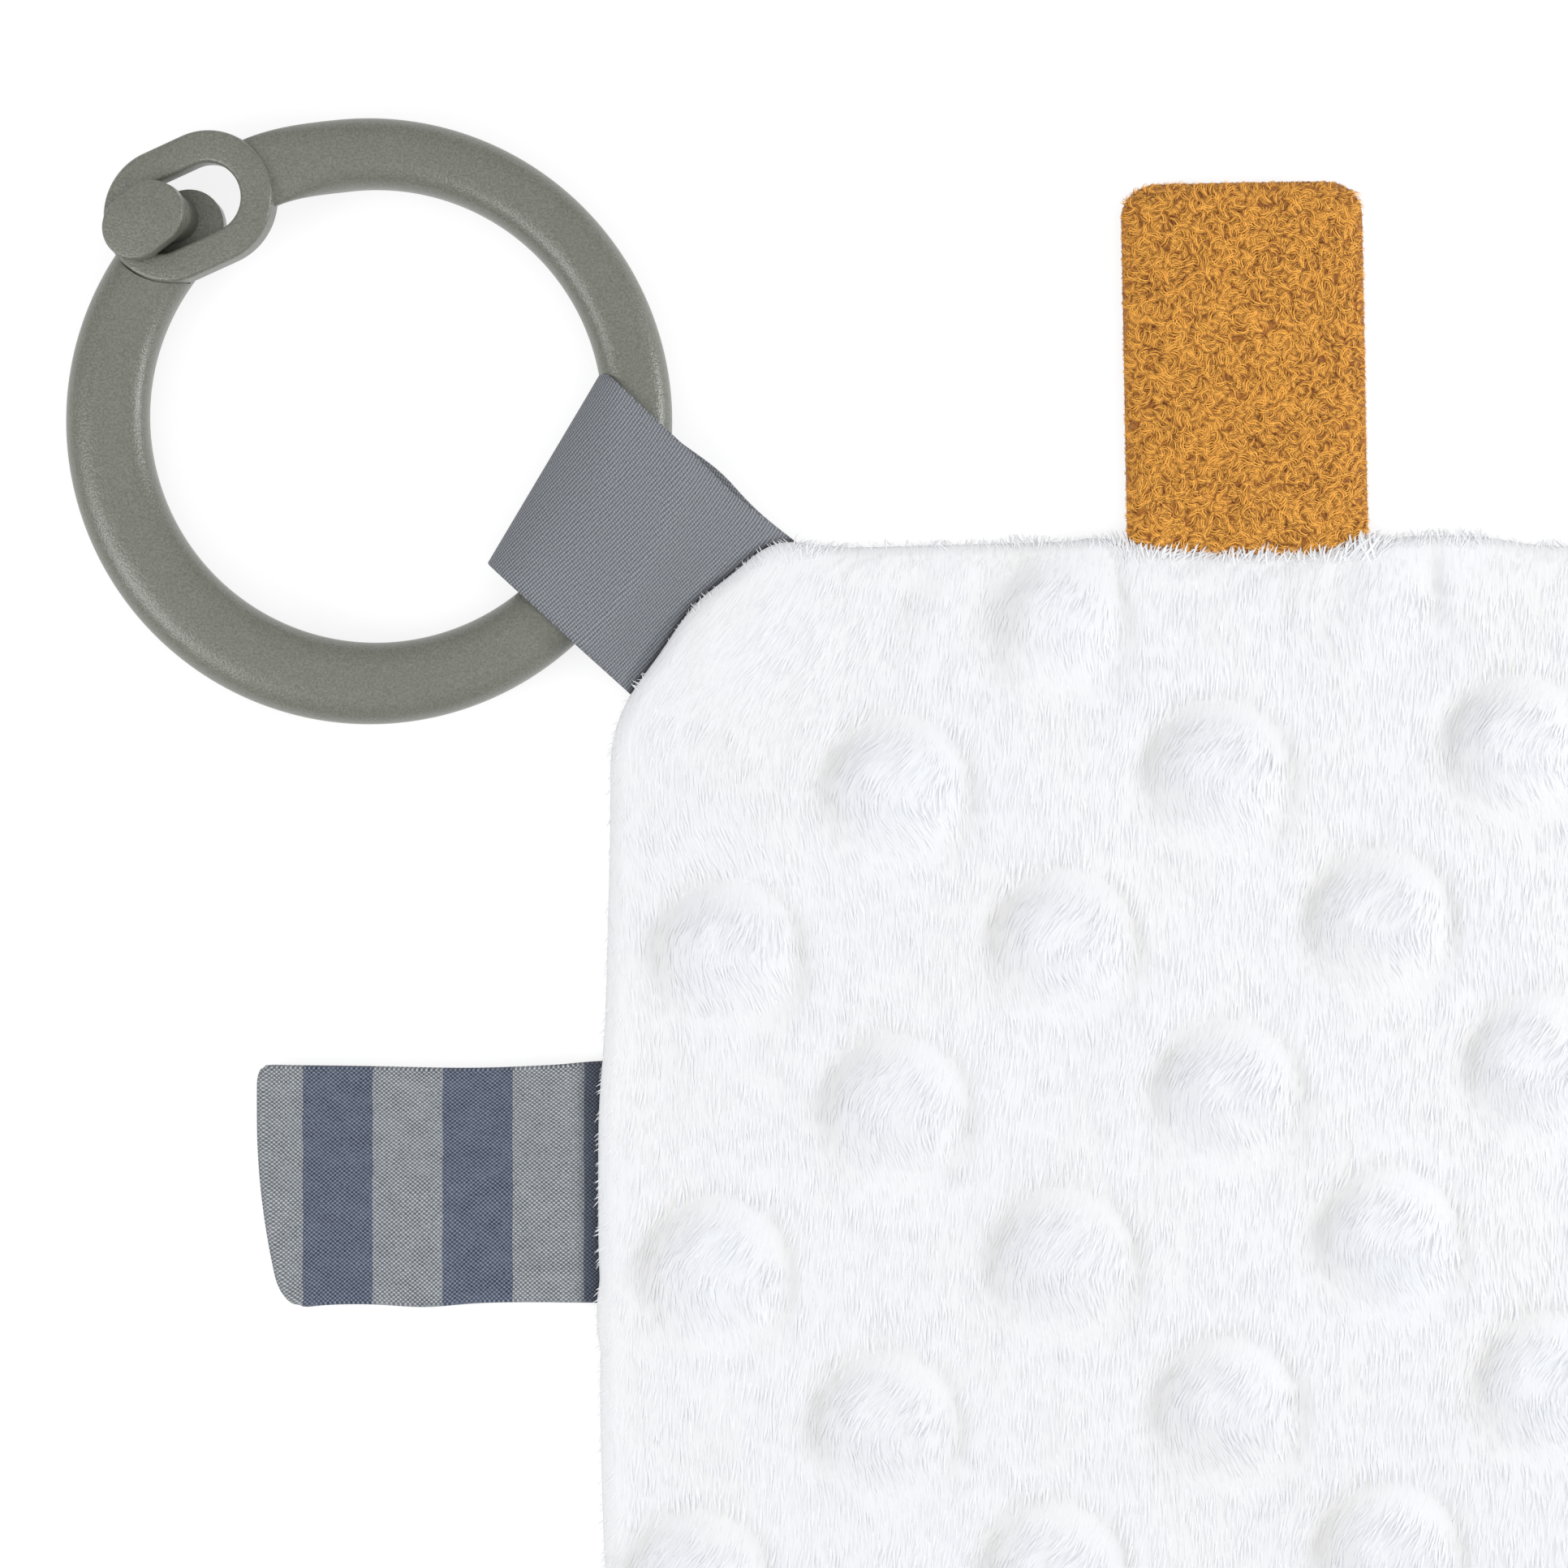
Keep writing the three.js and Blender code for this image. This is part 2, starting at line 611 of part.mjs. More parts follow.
// Places a group whose +Y points out of the cloth over one of its sides
function sidePlace(turn, shift) {
  const place = new THREE.Group();
  place.rotation.z = turn;
  const offset = new THREE.Vector3(shift, clothSide / 2, 0);
  place.position.copy(offset.applyAxisAngle(new THREE.Vector3(0, 0, 1), turn));
  toy.add(place);
  return place;
}

for (const [name, turn, shift] of [["top_tab", 0, topTabShift], ["bottom_tab", Math.PI, 0]]) {
  const place = sidePlace(turn, shift);
  addPiece(name + "_front", fleeceLayer(1), finish("#cc934b", 1), place);
  addPiece(name + "_back", fleeceLayer(-1), finish("#cc934b", 1), place);
}

for (const [name, turn, shift] of [["left_loop", quarterTurn, leftLoopShift], ["right_loop", -quarterTurn, 0]]) {
  addPiece(name, jerseyLoop(), finish("#7d8491", 0.95), sidePlace(turn, shift));
}

export default toy;
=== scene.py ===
# %% [markdown]
# # A crinkle cloth with a link ring
#
# This is a baby's toy: a small square cloth with a white plush face, a plain cotton back and a crinkling
# film inside. A plastic link ring hangs on a twill ribbon at one corner, and soft tabs stand out of the
# sides. The imported solids are loaded first.

# %% Load the frame
import math
from math import cos, exp, pi, radians, sin, sqrt

import bmesh
import bpy
import numpy as np
from mathutils import Matrix, Vector


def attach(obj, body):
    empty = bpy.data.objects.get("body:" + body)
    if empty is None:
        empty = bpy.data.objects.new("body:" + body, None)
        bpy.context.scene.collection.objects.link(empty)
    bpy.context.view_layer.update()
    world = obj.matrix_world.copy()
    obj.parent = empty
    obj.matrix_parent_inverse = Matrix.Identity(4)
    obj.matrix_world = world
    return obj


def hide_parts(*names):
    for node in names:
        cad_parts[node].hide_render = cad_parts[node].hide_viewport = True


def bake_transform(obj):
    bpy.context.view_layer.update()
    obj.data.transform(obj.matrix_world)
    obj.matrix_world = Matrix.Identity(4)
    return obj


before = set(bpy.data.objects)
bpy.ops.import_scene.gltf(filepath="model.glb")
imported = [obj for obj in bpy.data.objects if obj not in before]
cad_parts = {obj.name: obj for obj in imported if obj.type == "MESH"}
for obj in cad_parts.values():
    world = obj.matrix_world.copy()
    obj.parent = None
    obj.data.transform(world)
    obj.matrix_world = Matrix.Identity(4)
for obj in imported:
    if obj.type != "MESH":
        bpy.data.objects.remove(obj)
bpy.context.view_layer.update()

# %% [markdown]
# ## Sizes and small helpers
#
# The shapes are worked out in millimetres, as cloth and mouldings are, and one function turns them into a
# mesh in metres. Another adds a node with its settings and its links, so that a material or a tree of
# Geometry Nodes reads from top to bottom, and a third turns a colour code into a shader's linear numbers.

# %% Helpers for meshes
MILLIMETRE = 0.001
CUT_UNIT = 100  # mm of flat cloth to one unit of the cut coordinates
scene = bpy.context.scene


def put(name, data):
    """A new object at the origin of the scene."""
    made = bpy.data.objects.new(name, data)
    scene.collection.objects.link(made)
    return made


def piece(name, points, faces, cut=None):
    """Makes an object from points in millimetres. cut gives each point's place on the flat cloth."""
    mesh = bpy.data.meshes.new(name)
    mesh.from_pydata((np.asarray(points, float) * MILLIMETRE).tolist(), [], [list(face) for face in faces])
    mesh.shade_smooth()
    if cut is not None:
        corner_points = np.zeros(len(mesh.loops), int)
        mesh.loops.foreach_get("vertex_index", corner_points)
        flat = np.asarray(cut, float)[corner_points] / CUT_UNIT
        mesh.uv_layers.new(name="cut").data.foreach_set("uv", flat.ravel())
    return put(name, mesh)


def shaped_mesh(made):
    """A new mesh of an object as its modifiers shape it."""
    return bpy.data.meshes.new_from_object(made.evaluated_get(bpy.context.evaluated_depsgraph_get()))


def spots(made):
    """A mesh's points in millimetres."""
    return np.array([vertex.co for vertex in made.data.vertices]) / MILLIMETRE


def keep(made, name, values):
    """Stores a number or a vector for each point of a mesh as an attribute."""
    values = np.asarray(values, float)
    kind, field = ("FLOAT", "value") if values.ndim == 1 else ("FLOAT_VECTOR", "vector")
    made.data.attributes.new(name, kind, "POINT").data.foreach_set(field, values.ravel())


def points_at(x, y, z):
    """Rows of (x, y, z) from arrays of one shape, or numbers that hold for all of them."""
    return np.column_stack([part.ravel() for part in np.broadcast_arrays(x, y, z)])


def grid_faces(rows, columns, first=0, ring=False):
    """Quads between rows of points; ring joins the last column to the first."""
    faces = []
    for row in range(rows - 1):
        for column in range(columns if ring else columns - 1):
            a = first + row * columns + column
            b = first + row * columns + (column + 1) % columns
            faces.append((a, b, b + columns, a + columns))
    return faces


def closed_loft(rows):
    """Points and faces of a loft whose ends are closed by fans."""
    count = len(rows[0])
    points = np.vstack([*rows, rows[0].mean(axis=0), rows[-1].mean(axis=0)])
    faces = grid_faces(len(rows), count, ring=True)
    first, last = len(rows) * count, (len(rows) - 1) * count
    faces += [(first, (k + 1) % count, k) for k in range(count)]
    faces += [(first + 1, last + k, last + (k + 1) % count) for k in range(count)]
    return points, faces


def outward(made):
    """Turns every face of a closed mesh to the outside."""
    shape = bmesh.new()
    shape.from_mesh(made.data)
    bmesh.ops.remove_doubles(shape, verts=shape.verts, dist=1e-7)
    bmesh.ops.recalc_face_normals(shape, faces=shape.faces)
    shape.to_mesh(made.data)
    shape.free()
    return made


def smoothstep(low, high, value):
    share = np.clip((np.asarray(value, float) - low) / (high - low), 0, 1)
    return share * share * (3 - 2 * share)


def quarter(count):
    """Angles from 0 to a right angle."""
    return np.linspace(0, pi / 2, count)


def squared(wave, squareness, half):
    """A sine or cosine filled out, so that its outline lies between an ellipse (2) and a rectangle."""
    return np.sign(wave) * np.abs(wave) ** (2 / squareness) * half


def bell(value, middle, reach, power=2):
    """1 in the middle, falling off to 0 on both sides."""
    return np.exp(-(np.abs((value - middle) / reach) ** power))


def ripple(x, y, step, seed):
    """Smooth noise from -1 to 1 over the plane, with hills about a step apart."""
    lattice = np.random.default_rng(seed).uniform(-1, 1, (64, 64))
    column, row = np.asarray(x, float) / step + 200, np.asarray(y, float) / step + 200
    i, j = np.floor(column).astype(int), np.floor(row).astype(int)
    s, t = smoothstep(0, 1, column - i), smoothstep(0, 1, row - j)
    low = lattice[i % 64, j % 64] * (1 - s) + lattice[(i + 1) % 64, j % 64] * s
    high = lattice[i % 64, (j + 1) % 64] * (1 - s) + lattice[(i + 1) % 64, (j + 1) % 64] * s
    return low * (1 - t) + high * t


# %% Helpers for nodes and colours
def linear(code):
    """A colour written as #rrggbb, as linear red, green, blue and alpha."""
    shares = [int(code[k:k + 2], 16) / 255 for k in (1, 3, 5)]
    return (*[s / 12.92 if s <= 0.04045 else ((s + 0.055) / 1.055) ** 2.4 for s in shares], 1.0)


def add(tree, kind, inputs=None, **settings):
    """Adds a node. inputs maps a socket's name or number to a value, or to the socket or node that feeds it."""
    node = tree.nodes.new(kind)
    for name, value in settings.items():
        setattr(node, name, value)
    for key, value in (inputs or {}).items():
        value = value.outputs[0] if isinstance(value, bpy.types.Node) else value
        if isinstance(value, bpy.types.NodeSocket):
            tree.links.new(value, node.inputs[key])
        else:
            node.inputs[key].default_value = value
    return node


def finish(name, **sockets):
    """A new material, its node tree and its shader, with the constant sockets set on the shader itself."""
    made = bpy.data.materials.new(name)
    made.use_nodes = True
    shader = made.node_tree.nodes["Principled BSDF"]
    for socket, value in sockets.items():
        shader.inputs[socket.replace("_", " ")].default_value = value
    return made, made.node_tree, shader


def paint(shader, colour):
    """Gives a material its colour."""
    shader.id_data.links.new(colour, shader.inputs["Base Color"])


def home(*values):
    """The tree that a socket among the values belongs to."""
    return next(value.id_data for value in values if isinstance(value, bpy.types.NodeSocket))


def maths(operation, *values):
    return add(home(*values), "ShaderNodeMath", dict(enumerate(values)), operation=operation).outputs[0]


def times(first, second):
    return maths("MULTIPLY", first, second)


def waves_along(place, step):
    """A sine wave, -1 to 1, that repeats after a step."""
    return maths("SINE", times(place, 2 * pi / step))


def ramp(value, low, high, kind="SMOOTHSTEP"):
    """Rises from 0 to 1 while a value goes from low to high."""
    limits = {"Value": value, "From Min": low, "From Max": high}
    return add(home(value), "ShaderNodeMapRange", limits, interpolation_type=kind).outputs[0]


def stored(tree, name, output="Fac"):
    """Reads what the mesh carries as an attribute."""
    return add(tree, "ShaderNodeAttribute", attribute_name=name).outputs[output]


def object_place(tree):
    return add(tree, "ShaderNodeTexCoord").outputs["Object"]


def parts(place):
    """The x, y and z of a place."""
    return add(home(place), "ShaderNodeSeparateXYZ", {0: place}).outputs


def blend_colours(share, low, high):
    """A ramp between colours that are written as codes or come from sockets."""
    colours = [linear(colour) if isinstance(colour, str) else colour for colour in (low, high)]
    inputs = {0: share, 6: colours[0], 7: colours[1]}
    return add(home(share, low, high), "ShaderNodeMix", inputs, data_type="RGBA").outputs[2]


def tinted(colour, share, strength, tint):
    """Mixes a tint into a colour by a share that a strength scales."""
    return blend_colours(times(share, strength), colour, tint)


def grain(place, spacing, detail=2.0, distortion=0.0):
    """Noise whose hills are a spacing apart in metres, the same each way or one for each axis of the place."""
    spacing = spacing if isinstance(spacing, tuple) else (spacing,) * 3
    tree, shrink = home(place), [1 / step for step in spacing]
    scaled = add(tree, "ShaderNodeVectorMath", {0: place, 1: shrink}, operation="MULTIPLY")
    noise = {"Vector": scaled, "Scale": 1.0, "Detail": detail, "Distortion": distortion}
    return add(tree, "ShaderNodeTexNoise", noise).outputs["Fac"]


def raise_surface(shader, height, depth, strength=1.0):
    bump = add(home(height), "ShaderNodeBump", {"Strength": strength, "Distance": depth, "Height": height})
    shader.id_data.links.new(bump.outputs[0], shader.inputs["Normal"])


# %% [markdown]
# ## Camera
#
# The toy was photographed lying flat, from straight above, and the picture shows only one corner of it. The
# camera therefore looks straight down. Its lens is worked out from the width of table that the picture
# covers, which the ring's real size gives.

# %% Camera
PICTURE_WIDTH = 169.0  # mm of the plane of the cloth's face that the picture covers
CAMERA_HEIGHT = 500.0  # mm above that plane
FACE_LEVEL = 4.0
PICTURE_MIDDLE = (-50.7, 44.0)

lens = bpy.data.cameras.new("copy_stand_camera")
lens.sensor_width = 36
lens.lens = lens.sensor_width * CAMERA_HEIGHT / PICTURE_WIDTH
lens.clip_start = 0.01
camera = put("copy_stand_camera", lens)
camera.location = Vector((*PICTURE_MIDDLE, CAMERA_HEIGHT + FACE_LEVEL)) * MILLIMETRE
scene.camera = camera
print(f"lens {lens.lens:.1f} mm, {CAMERA_HEIGHT:.0f} mm above the cloth's face")

# %% [markdown]
# ## Light and floor
#
# White plush shows its shape only if the light has a direction, but a product is lit softly. A pale world
# fills the shadows, and a large soft lamp overhead gives the level. The ring doesn't mirror that lamp, only
# a broad strip on each side, and these two draw the bright bands along its bar. Together they are set so
# that a colour renders about as it is written. The floor is white to the camera and keeps the toy's shadow,
# and it is less white to everything else, so that it doesn't light the toy from below.

# %% Light and floor
scene.view_settings.view_transform = "Standard"

world = bpy.data.worlds.new("studio_air")
world.use_nodes = True
world.node_tree.nodes["Background"].inputs["Color"].default_value = linear("#fbfcff")
world.node_tree.nodes["Background"].inputs["Strength"].default_value = 0.45
scene.world = world


def soft_box(name, place, aim, size, power):
    """A rectangular lamp. Its place and size are in metres, its power is in watts."""
    light = bpy.data.lights.new(name, "AREA")
    light.shape = "RECTANGLE"
    light.size, light.size_y = size
    light.energy = power
    light.spread = radians(150)
    lamp = put(name, light)
    lamp.location = place
    lamp.rotation_euler = (Vector(aim) - Vector(place)).to_track_quat("-Z", "Y").to_euler()
    return lamp


TOY_CORNER = (-0.06, 0.05, 0.0)
RING_PLACE = (-0.095, 0.084, 0.005)
overhead = soft_box("overhead_box", place=(0.0, 0.01, 0.85), aim=TOY_CORNER, size=(1.1, 1.1), power=3.2)
overhead.visible_glossy = False  # the photographed ring mirrors strips only, and no light from above
soft_box("right_strip", place=(0.42, 0.09, 0.16), aim=RING_PLACE, size=(0.18, 0.09), power=0.6)
soft_box("left_strip", place=(-0.44, -0.10, 0.37), aim=RING_PLACE, size=(0.26, 0.14), power=0.54)

FLOOR_HALF = 1500
FLOOR_GAP = 0.0002  # metres below the toy, so that no two faces share a plane
corners = [(x * FLOOR_HALF, y * FLOOR_HALF, 0) for x, y in ((-1, -1), (1, -1), (1, 1), (-1, 1))]
floor = piece("studio_floor", corners, [(0, 1, 2, 3)])
floor.data.transform(Matrix.Translation((0, 0, -FLOOR_GAP)))
paper = bpy.data.materials.new("white_paper_sweep")
paper.use_nodes = True
tree = paper.node_tree
tree.nodes.clear()
ray = add(tree, "ShaderNodeLightPath")
seen = maths("MAXIMUM", ray.outputs["Is Camera Ray"],
             maths("MAXIMUM", ray.outputs["Is Glossy Ray"], ray.outputs["Is Transmission Ray"]))
dull = add(tree, "ShaderNodeBsdfDiffuse", {"Color": linear("#d9d9d9")})
white = add(tree, "ShaderNodeBsdfDiffuse", {"Color": (0.28, 0.28, 0.28, 1)})
glow = add(tree, "ShaderNodeEmission", {"Color": (1, 1, 1, 1), "Strength": 0.78})
bright = add(tree, "ShaderNodeAddShader", {0: white, 1: glow})
add(tree, "ShaderNodeOutputMaterial", {0: add(tree, "ShaderNodeMixShader", {0: seen, 1: dull, 2: bright})})
floor.data.materials.append(paper)

# %% [markdown]
# ## The cloth's outline
#
# The cloth is a square of 141 mm with round corners, and its sides bow out a little, as a turned bag's do.
# A square grid is laid into that outline, so that its corners come to lie on the middle of the round
# corners. Such a grid has no pole, and the same function serves the plush, the back and the film.

# %% The cloth's outline
CLOTH_HALF = 70.5  # from the middle of the cloth to the middle of a side
CLOTH_CORNER = 26.0
SIDE_BOW = 0.8
CORNER_CENTRE = CLOTH_HALF - SIDE_BOW - CLOTH_CORNER

# The seam's pulls (below 0) and bulges along a fleece side and along a striped side: middle, reach, height
FLEECE_SIDE = ((-33, 14, -0.2), (-16.3, 2.6, 0.35), (-0.9, 12.8, -1.5), (21, 6, 0.55), (34, 5, -0.3))
STRIPED_SIDE = ((30, 16, -0.42), (1, 12, 0.3), (-13.5, 3, 0.4), (-30, 14, 0.3))
# The same round the corner that the ribbon pulls on: bearing from the upper side in degrees, reach, height
RIBBON_CORNER = ((17, 9, 1.4), (55, 13, -1.0))


def waves(place, pulls, power):
    return sum(height * bell(place, middle, reach, power) for middle, reach, height in pulls)


def side_wave(side, along):
    """How far a side stands out past its even bow."""
    return np.where((side % 2) == 0, waves(along, FLEECE_SIDE, 4), waves(along, STRIPED_SIDE, 4))


def cloth_plan(u, v, wave=1.0):
    """Places on the cloth, from grid shares of -1 to 1 each way."""
    u, v = np.asarray(u, float), np.asarray(v, float)
    reach = np.maximum(np.maximum(np.abs(u), np.abs(v)), 1e-9)
    # The sides are counted from the upper one: upper, right, lower, left
    side = np.select([v >= reach - 1e-12, u >= reach - 1e-12, v <= -reach + 1e-12], [0, 1, 2], 3)
    turn = np.choose(side, [u, -v, -u, v]) / reach
    way = np.abs(turn) * (CORNER_CENTRE + CLOTH_CORNER * pi / 4)
    round_corner = way >= CORNER_CENTRE
    angle = np.clip((way - CORNER_CENTRE) / CLOTH_CORNER, 0, None)
    bearing = np.degrees(np.where(side == 0, angle, pi / 2 - angle))
    pulled = ((side == 0) & (turn < 0)) | ((side == 3) & (turn > 0))
    radius = CLOTH_CORNER + wave * np.where(pulled, waves(bearing, RIBBON_CORNER, 2), 0)
    along = np.sign(turn) * np.where(round_corner, CORNER_CENTRE + radius * np.sin(angle), way)
    bowed = CLOTH_HALF - SIDE_BOW * (way / CORNER_CENTRE) ** 2
    out = np.where(round_corner, CORNER_CENTRE + radius * np.cos(angle), bowed)
    out = out + wave * side_wave(side, along) * smoothstep(0, 8, CORNER_CENTRE - np.abs(along) + 8)
    blend = reach ** 2
    along = along * blend + turn * CLOTH_HALF * (1 - blend)
    out = out * blend + CLOTH_HALF * (1 - blend)
    return np.choose(side, [along, out, -along, -out]) * reach, np.choose(side, [out, -along, -out, along]) * reach


def cloth_grid(line, share=1.0, wave=1.0):
    """A square grid laid into the outline: its shares each way, and its places."""
    u, v = np.meshgrid(line, line)
    return (u, v, *cloth_plan(u * share, v * share, wave))


def cloth_inset(x, y):
    """Distance in from the even outline."""
    over_x, over_y = np.abs(x) - CORNER_CENTRE, np.abs(y) - CORNER_CENTRE
    corner = CLOTH_CORNER - np.hypot(np.maximum(over_x, 0), np.maximum(over_y, 0))
    side = CLOTH_HALF - np.maximum(np.abs(x), np.abs(y))
    return np.where((over_x > 0) & (over_y > 0), corner, side)


# %% [markdown]
# ## How the filled cloth swells
#
# The front and the back are sewn together along the edge, and the wadding between them lifts the face.
# Nobody can draw the soft unevenness that this gives, so it is simulated: a slack bag on a coarse grid is
# blown up a little with its underside and its seam held, and its face is read off. Only the unevenness is
# used, so the face keeps the height that the solids have.

# %% Swell the cloth
SWELL_GRID = 45
SWELL_FRAMES = 20
CROWN_RISE = 2.9
CROWN_REACH = 45.0


def swell_field():
    """Heights of the blown-up face over the grid, from 0 at the seam to 1 at the highest place."""
    u, v, x, y = cloth_grid(np.linspace(-1, 1, SWELL_GRID), wave=0.0)
    edge = np.maximum(np.abs(u), np.abs(v)) > 1 - 1e-9
    face, under = [points_at(x, y, np.where(edge, 0, level)) for level in (1.5, -1.0)]
    count = SWELL_GRID ** 2
    faces = grid_faces(SWELL_GRID, SWELL_GRID)
    faces += [tuple(reversed(quad)) for quad in grid_faces(SWELL_GRID, SWELL_GRID, first=count)]
    bag = piece("swell_bag", np.vstack([face, under]), faces)
    shape = bmesh.new()
    shape.from_mesh(bag.data)
    number = shape.verts.layers.int.new("number")
    for vertex in shape.verts:
        vertex[number] = vertex.index
    bmesh.ops.remove_doubles(shape, verts=shape.verts, dist=1e-6)
    shape.to_mesh(bag.data)
    shape.free()
    number = np.array([item.value for item in bag.data.attributes["number"].data])
    held = bag.vertex_groups.new(name="held")
    heights = np.array([vertex.co.z for vertex in bag.data.vertices])
    held.add([int(k) for k in np.nonzero(heights < 1e-5)[0]], 1.0, "REPLACE")
    cloth = bag.modifiers.new("air", "CLOTH").settings
    for name, value in dict(
        quality=8, tension_stiffness=12, compression_stiffness=4, bending_stiffness=0.02, shrink_min=-0.012,
        use_pressure=True, uniform_pressure_force=4, vertex_group_mass="held",
    ).items():
        setattr(cloth, name, value)
    cloth.effector_weights.gravity = 0
    for step in range(SWELL_FRAMES):
        scene.frame_set(1 + step)
    top = np.zeros(count)
    for vertex, k in zip(shaped_mesh(bag).vertices, number):
        if k < count:
            top[k] = vertex.co.z
    bpy.data.objects.remove(bag)
    scene.frame_set(1)
    top = np.clip(top, 0, None).reshape(SWELL_GRID, SWELL_GRID)
    print(f"the bag swells to {top.max() * 1000:.1f} mm before it is scaled")
    return top / top.max()


swell = swell_field()


def swelled(u, v):
    """The swell at any grid share, smoothly between the coarse grid's points."""
    place = [(np.clip(share, -1, 1) + 1) / 2 * (SWELL_GRID - 1) for share in (v, u)]
    base = [np.floor(item).astype(int) for item in place]
    total, weight = 0.0, 0.0
    for step in np.ndindex(4, 4):
        near = [low + k - 1 for low, k in zip(base, step)]
        away = [np.abs(at - point) for at, point in zip(place, near)]
        share = np.prod([np.clip(1 - gap / 2, 0, None) ** 2 * (1 + gap) for gap in away], axis=0)
        i, j = np.clip(near, 0, SWELL_GRID - 1)
        total, weight = total + share * swell[i, j], weight + share
    return total / weight


# %% [markdown]
# ## The dotted plush
#
# The face is a polyester plush with raised round dots, embossed in staggered rows. The dots are real shape,
# because they catch the light: each rises steeply out of a shallow valley at its sides and top, and runs
# out gently below, where the nap flows over its foot. The mesh is a fine grid, closer near the edge.

# %% The dots
DOT_PITCH = 35.0
DOT_ROW_STEP = 17.25
DOT_RADIUS = 7.4
DOT_RISE = 1.38
DOT_SLOPE = radians(3.3)
DOT_FIRST = (-20.8, 63.6)
DOT_EDGE = 1.5  # a dot whose middle is nearer to the seam is left out


def dot_places():
    places = []
    for row in range(10):
        for column in range(-5, 6):
            x = DOT_FIRST[0] + DOT_PITCH * (column + (row % 2) / 2)
            y = DOT_FIRST[1] - DOT_ROW_STEP * row + math.tan(DOT_SLOPE) * (x - DOT_FIRST[0])
            if cloth_inset(x, y) > DOT_EDGE:
                # How sewing has pulled the rows out of true, read off the photograph as far as it shows them
                u, v = min(x / 70, 0.5), max(y / 70, -0.6)
                stretch_x = 0.5 - 0.75 * u - 0.4 * v - 4.3 * u * u - 4.0 * u * v - 1.9 * v * v
                stretch_y = -0.7 + 0.5 * u - 0.7 * v + 2.0 * u * u + 0.1 * u * v + 0.7 * v * v
                places.append((x + stretch_x, y + stretch_y))
    return places


dots = dot_places()
print(len(dots), "dots")


def dotted(x, y):
    """Height that the dots add, painted shade for their valleys (less than 0 on a dot, where the colour is cooled),
    and how far the nap is swept on a dot.
    """
    height, valley_shade, sweep = np.zeros_like(x), np.zeros_like(x), np.zeros_like(x)
    for middle_x, middle_y in dots:
        away_x, away_y = x - middle_x, y - middle_y
        away = np.hypot(away_x, away_y)
        lean_x, lean_y = away_x / np.maximum(away, 0.01), away_y / np.maximum(away, 0.01)
        upper, lower, left, right = [np.maximum(value, 0) for value in (lean_y, -lean_y, -lean_x, lean_x)]
        share = away / (DOT_RADIUS * (1 - 0.08 * upper + 0.25 * lower))
        strength = smoothstep(2.5, 1.5 * DOT_RADIUS, cloth_inset(middle_x, middle_y))
        # The valley lies at the dot's sides and top, and the dome is steep above and gentle below
        side = np.maximum(0.28 * lean_y - 0.96 * lean_x, 0) ** 1.5 + 0.95 * right ** 2.5 + 0.3 * upper ** 4
        groove = bell(share, 1.03, 0.14 + 0.06 * left - 0.02 * right) * side * strength
        dome = strength * (1 - smoothstep(0.45 - 0.3 * lower - 0.15 * upper, 1.0, share))
        height += DOT_RISE * dome - 0.32 * groove
        # Painted shade: the colour darkens in the grooves and cools on the domes
        valley_shade += groove - 0.3 * dome
        swept = np.exp(-(((away_x + 1.5) / 6.5) ** 2) - ((away_y - 1.5) / 6.0) ** 2)
        sweep += strength * swept * (away_y - 5)
    return height, valley_shade, sweep


# %% The plush pad
BACK_LEVEL = 0.7  # where the plush meets the cotton back
EDGE_LEVEL = 2.4  # where the bolstered edge stands out furthest
EDGE_ROLL = 1.7
near_edge = [0, 0.1, 0.25, 0.45, 0.7, 1.0, 1.35, 1.75, 2.3]
shares = [1 - inset / CLOTH_HALF for inset in near_edge]
half_line = np.array(shares + list(np.linspace(shares[-1], 0, 105)[1:]))
line = np.concatenate([-half_line[:-1], half_line[::-1]])

# Pleats at the fleece tabs, where the thick seam gathers the plush.
# Each is given from (along, inset) to (along, inset), then its width and its depth.
PLEATS = (
    ((-25, 2.6), (-28.6, 14.5), 1.5, 0.75), ((-14.4, 1.2), (-14.9, 12), 0.8, 0.5), ((19.3, 0.6), (19.8, 9), 0.9, 0.6),
    ((9.5, 3), (6.5, 11), 1.6, 0.3), ((-36, 3), (-40, 14), 2.2, 0.35),
)


def pleated(x, y):
    """Depth of the pleats at a point."""
    depth = np.zeros_like(x)
    for way in (1, -1):
        for (along, inset), (far_along, far_inset), width, deep in PLEATS:
            begin = np.array([along, CLOTH_HALF - inset])
            run = np.array([far_along, CLOTH_HALF - far_inset]) - begin
            off_x, off_y = way * x - begin[0], way * y - begin[1]
            share = (off_x * run[0] + off_y * run[1]) / (run @ run)
            on_pleat = np.clip(share, 0, 1)
            gap = np.hypot(off_x - on_pleat * run[0], off_y - on_pleat * run[1])
            depth += deep * bell(gap, 0, width) * (1 - 0.6 * on_pleat)
    return depth


def face_height(u, v, x, y):
    """Height of the plush's ground, without its pile."""
    reach = np.maximum(np.abs(u), np.abs(v))
    near = smoothstep(0.93, 0.965, reach)
    inset = (1 - reach) * CLOTH_HALF * near + np.maximum(cloth_inset(x, y), 0) * (1 - near)
    roll = np.clip(inset / EDGE_ROLL, 0, 1)
    edge = EDGE_LEVEL + 0.9 * (1 - (1 - roll) ** 2) ** 0.8
    drawn = np.sin(np.clip(inset / CROWN_REACH, 0, 1) * pi / 2)
    crown = CROWN_RISE * (0.45 * drawn + 0.55 * swelled(u, v))
    settle = smoothstep(0.4, 4, inset)
    uneven = 0.22 * ripple(x, y, 11, 3) + 0.10 * ripple(x, y, 4, 5) + 0.04 * ripple(x, y, 1.6, 8)
    return edge + crown + (dotted(x, y)[0] + uneven - pleated(x, y)) * settle


u, v, x, y = cloth_grid(line)
z = face_height(u, v, x, y)
columns = len(line)
faces = grid_faces(columns, columns)


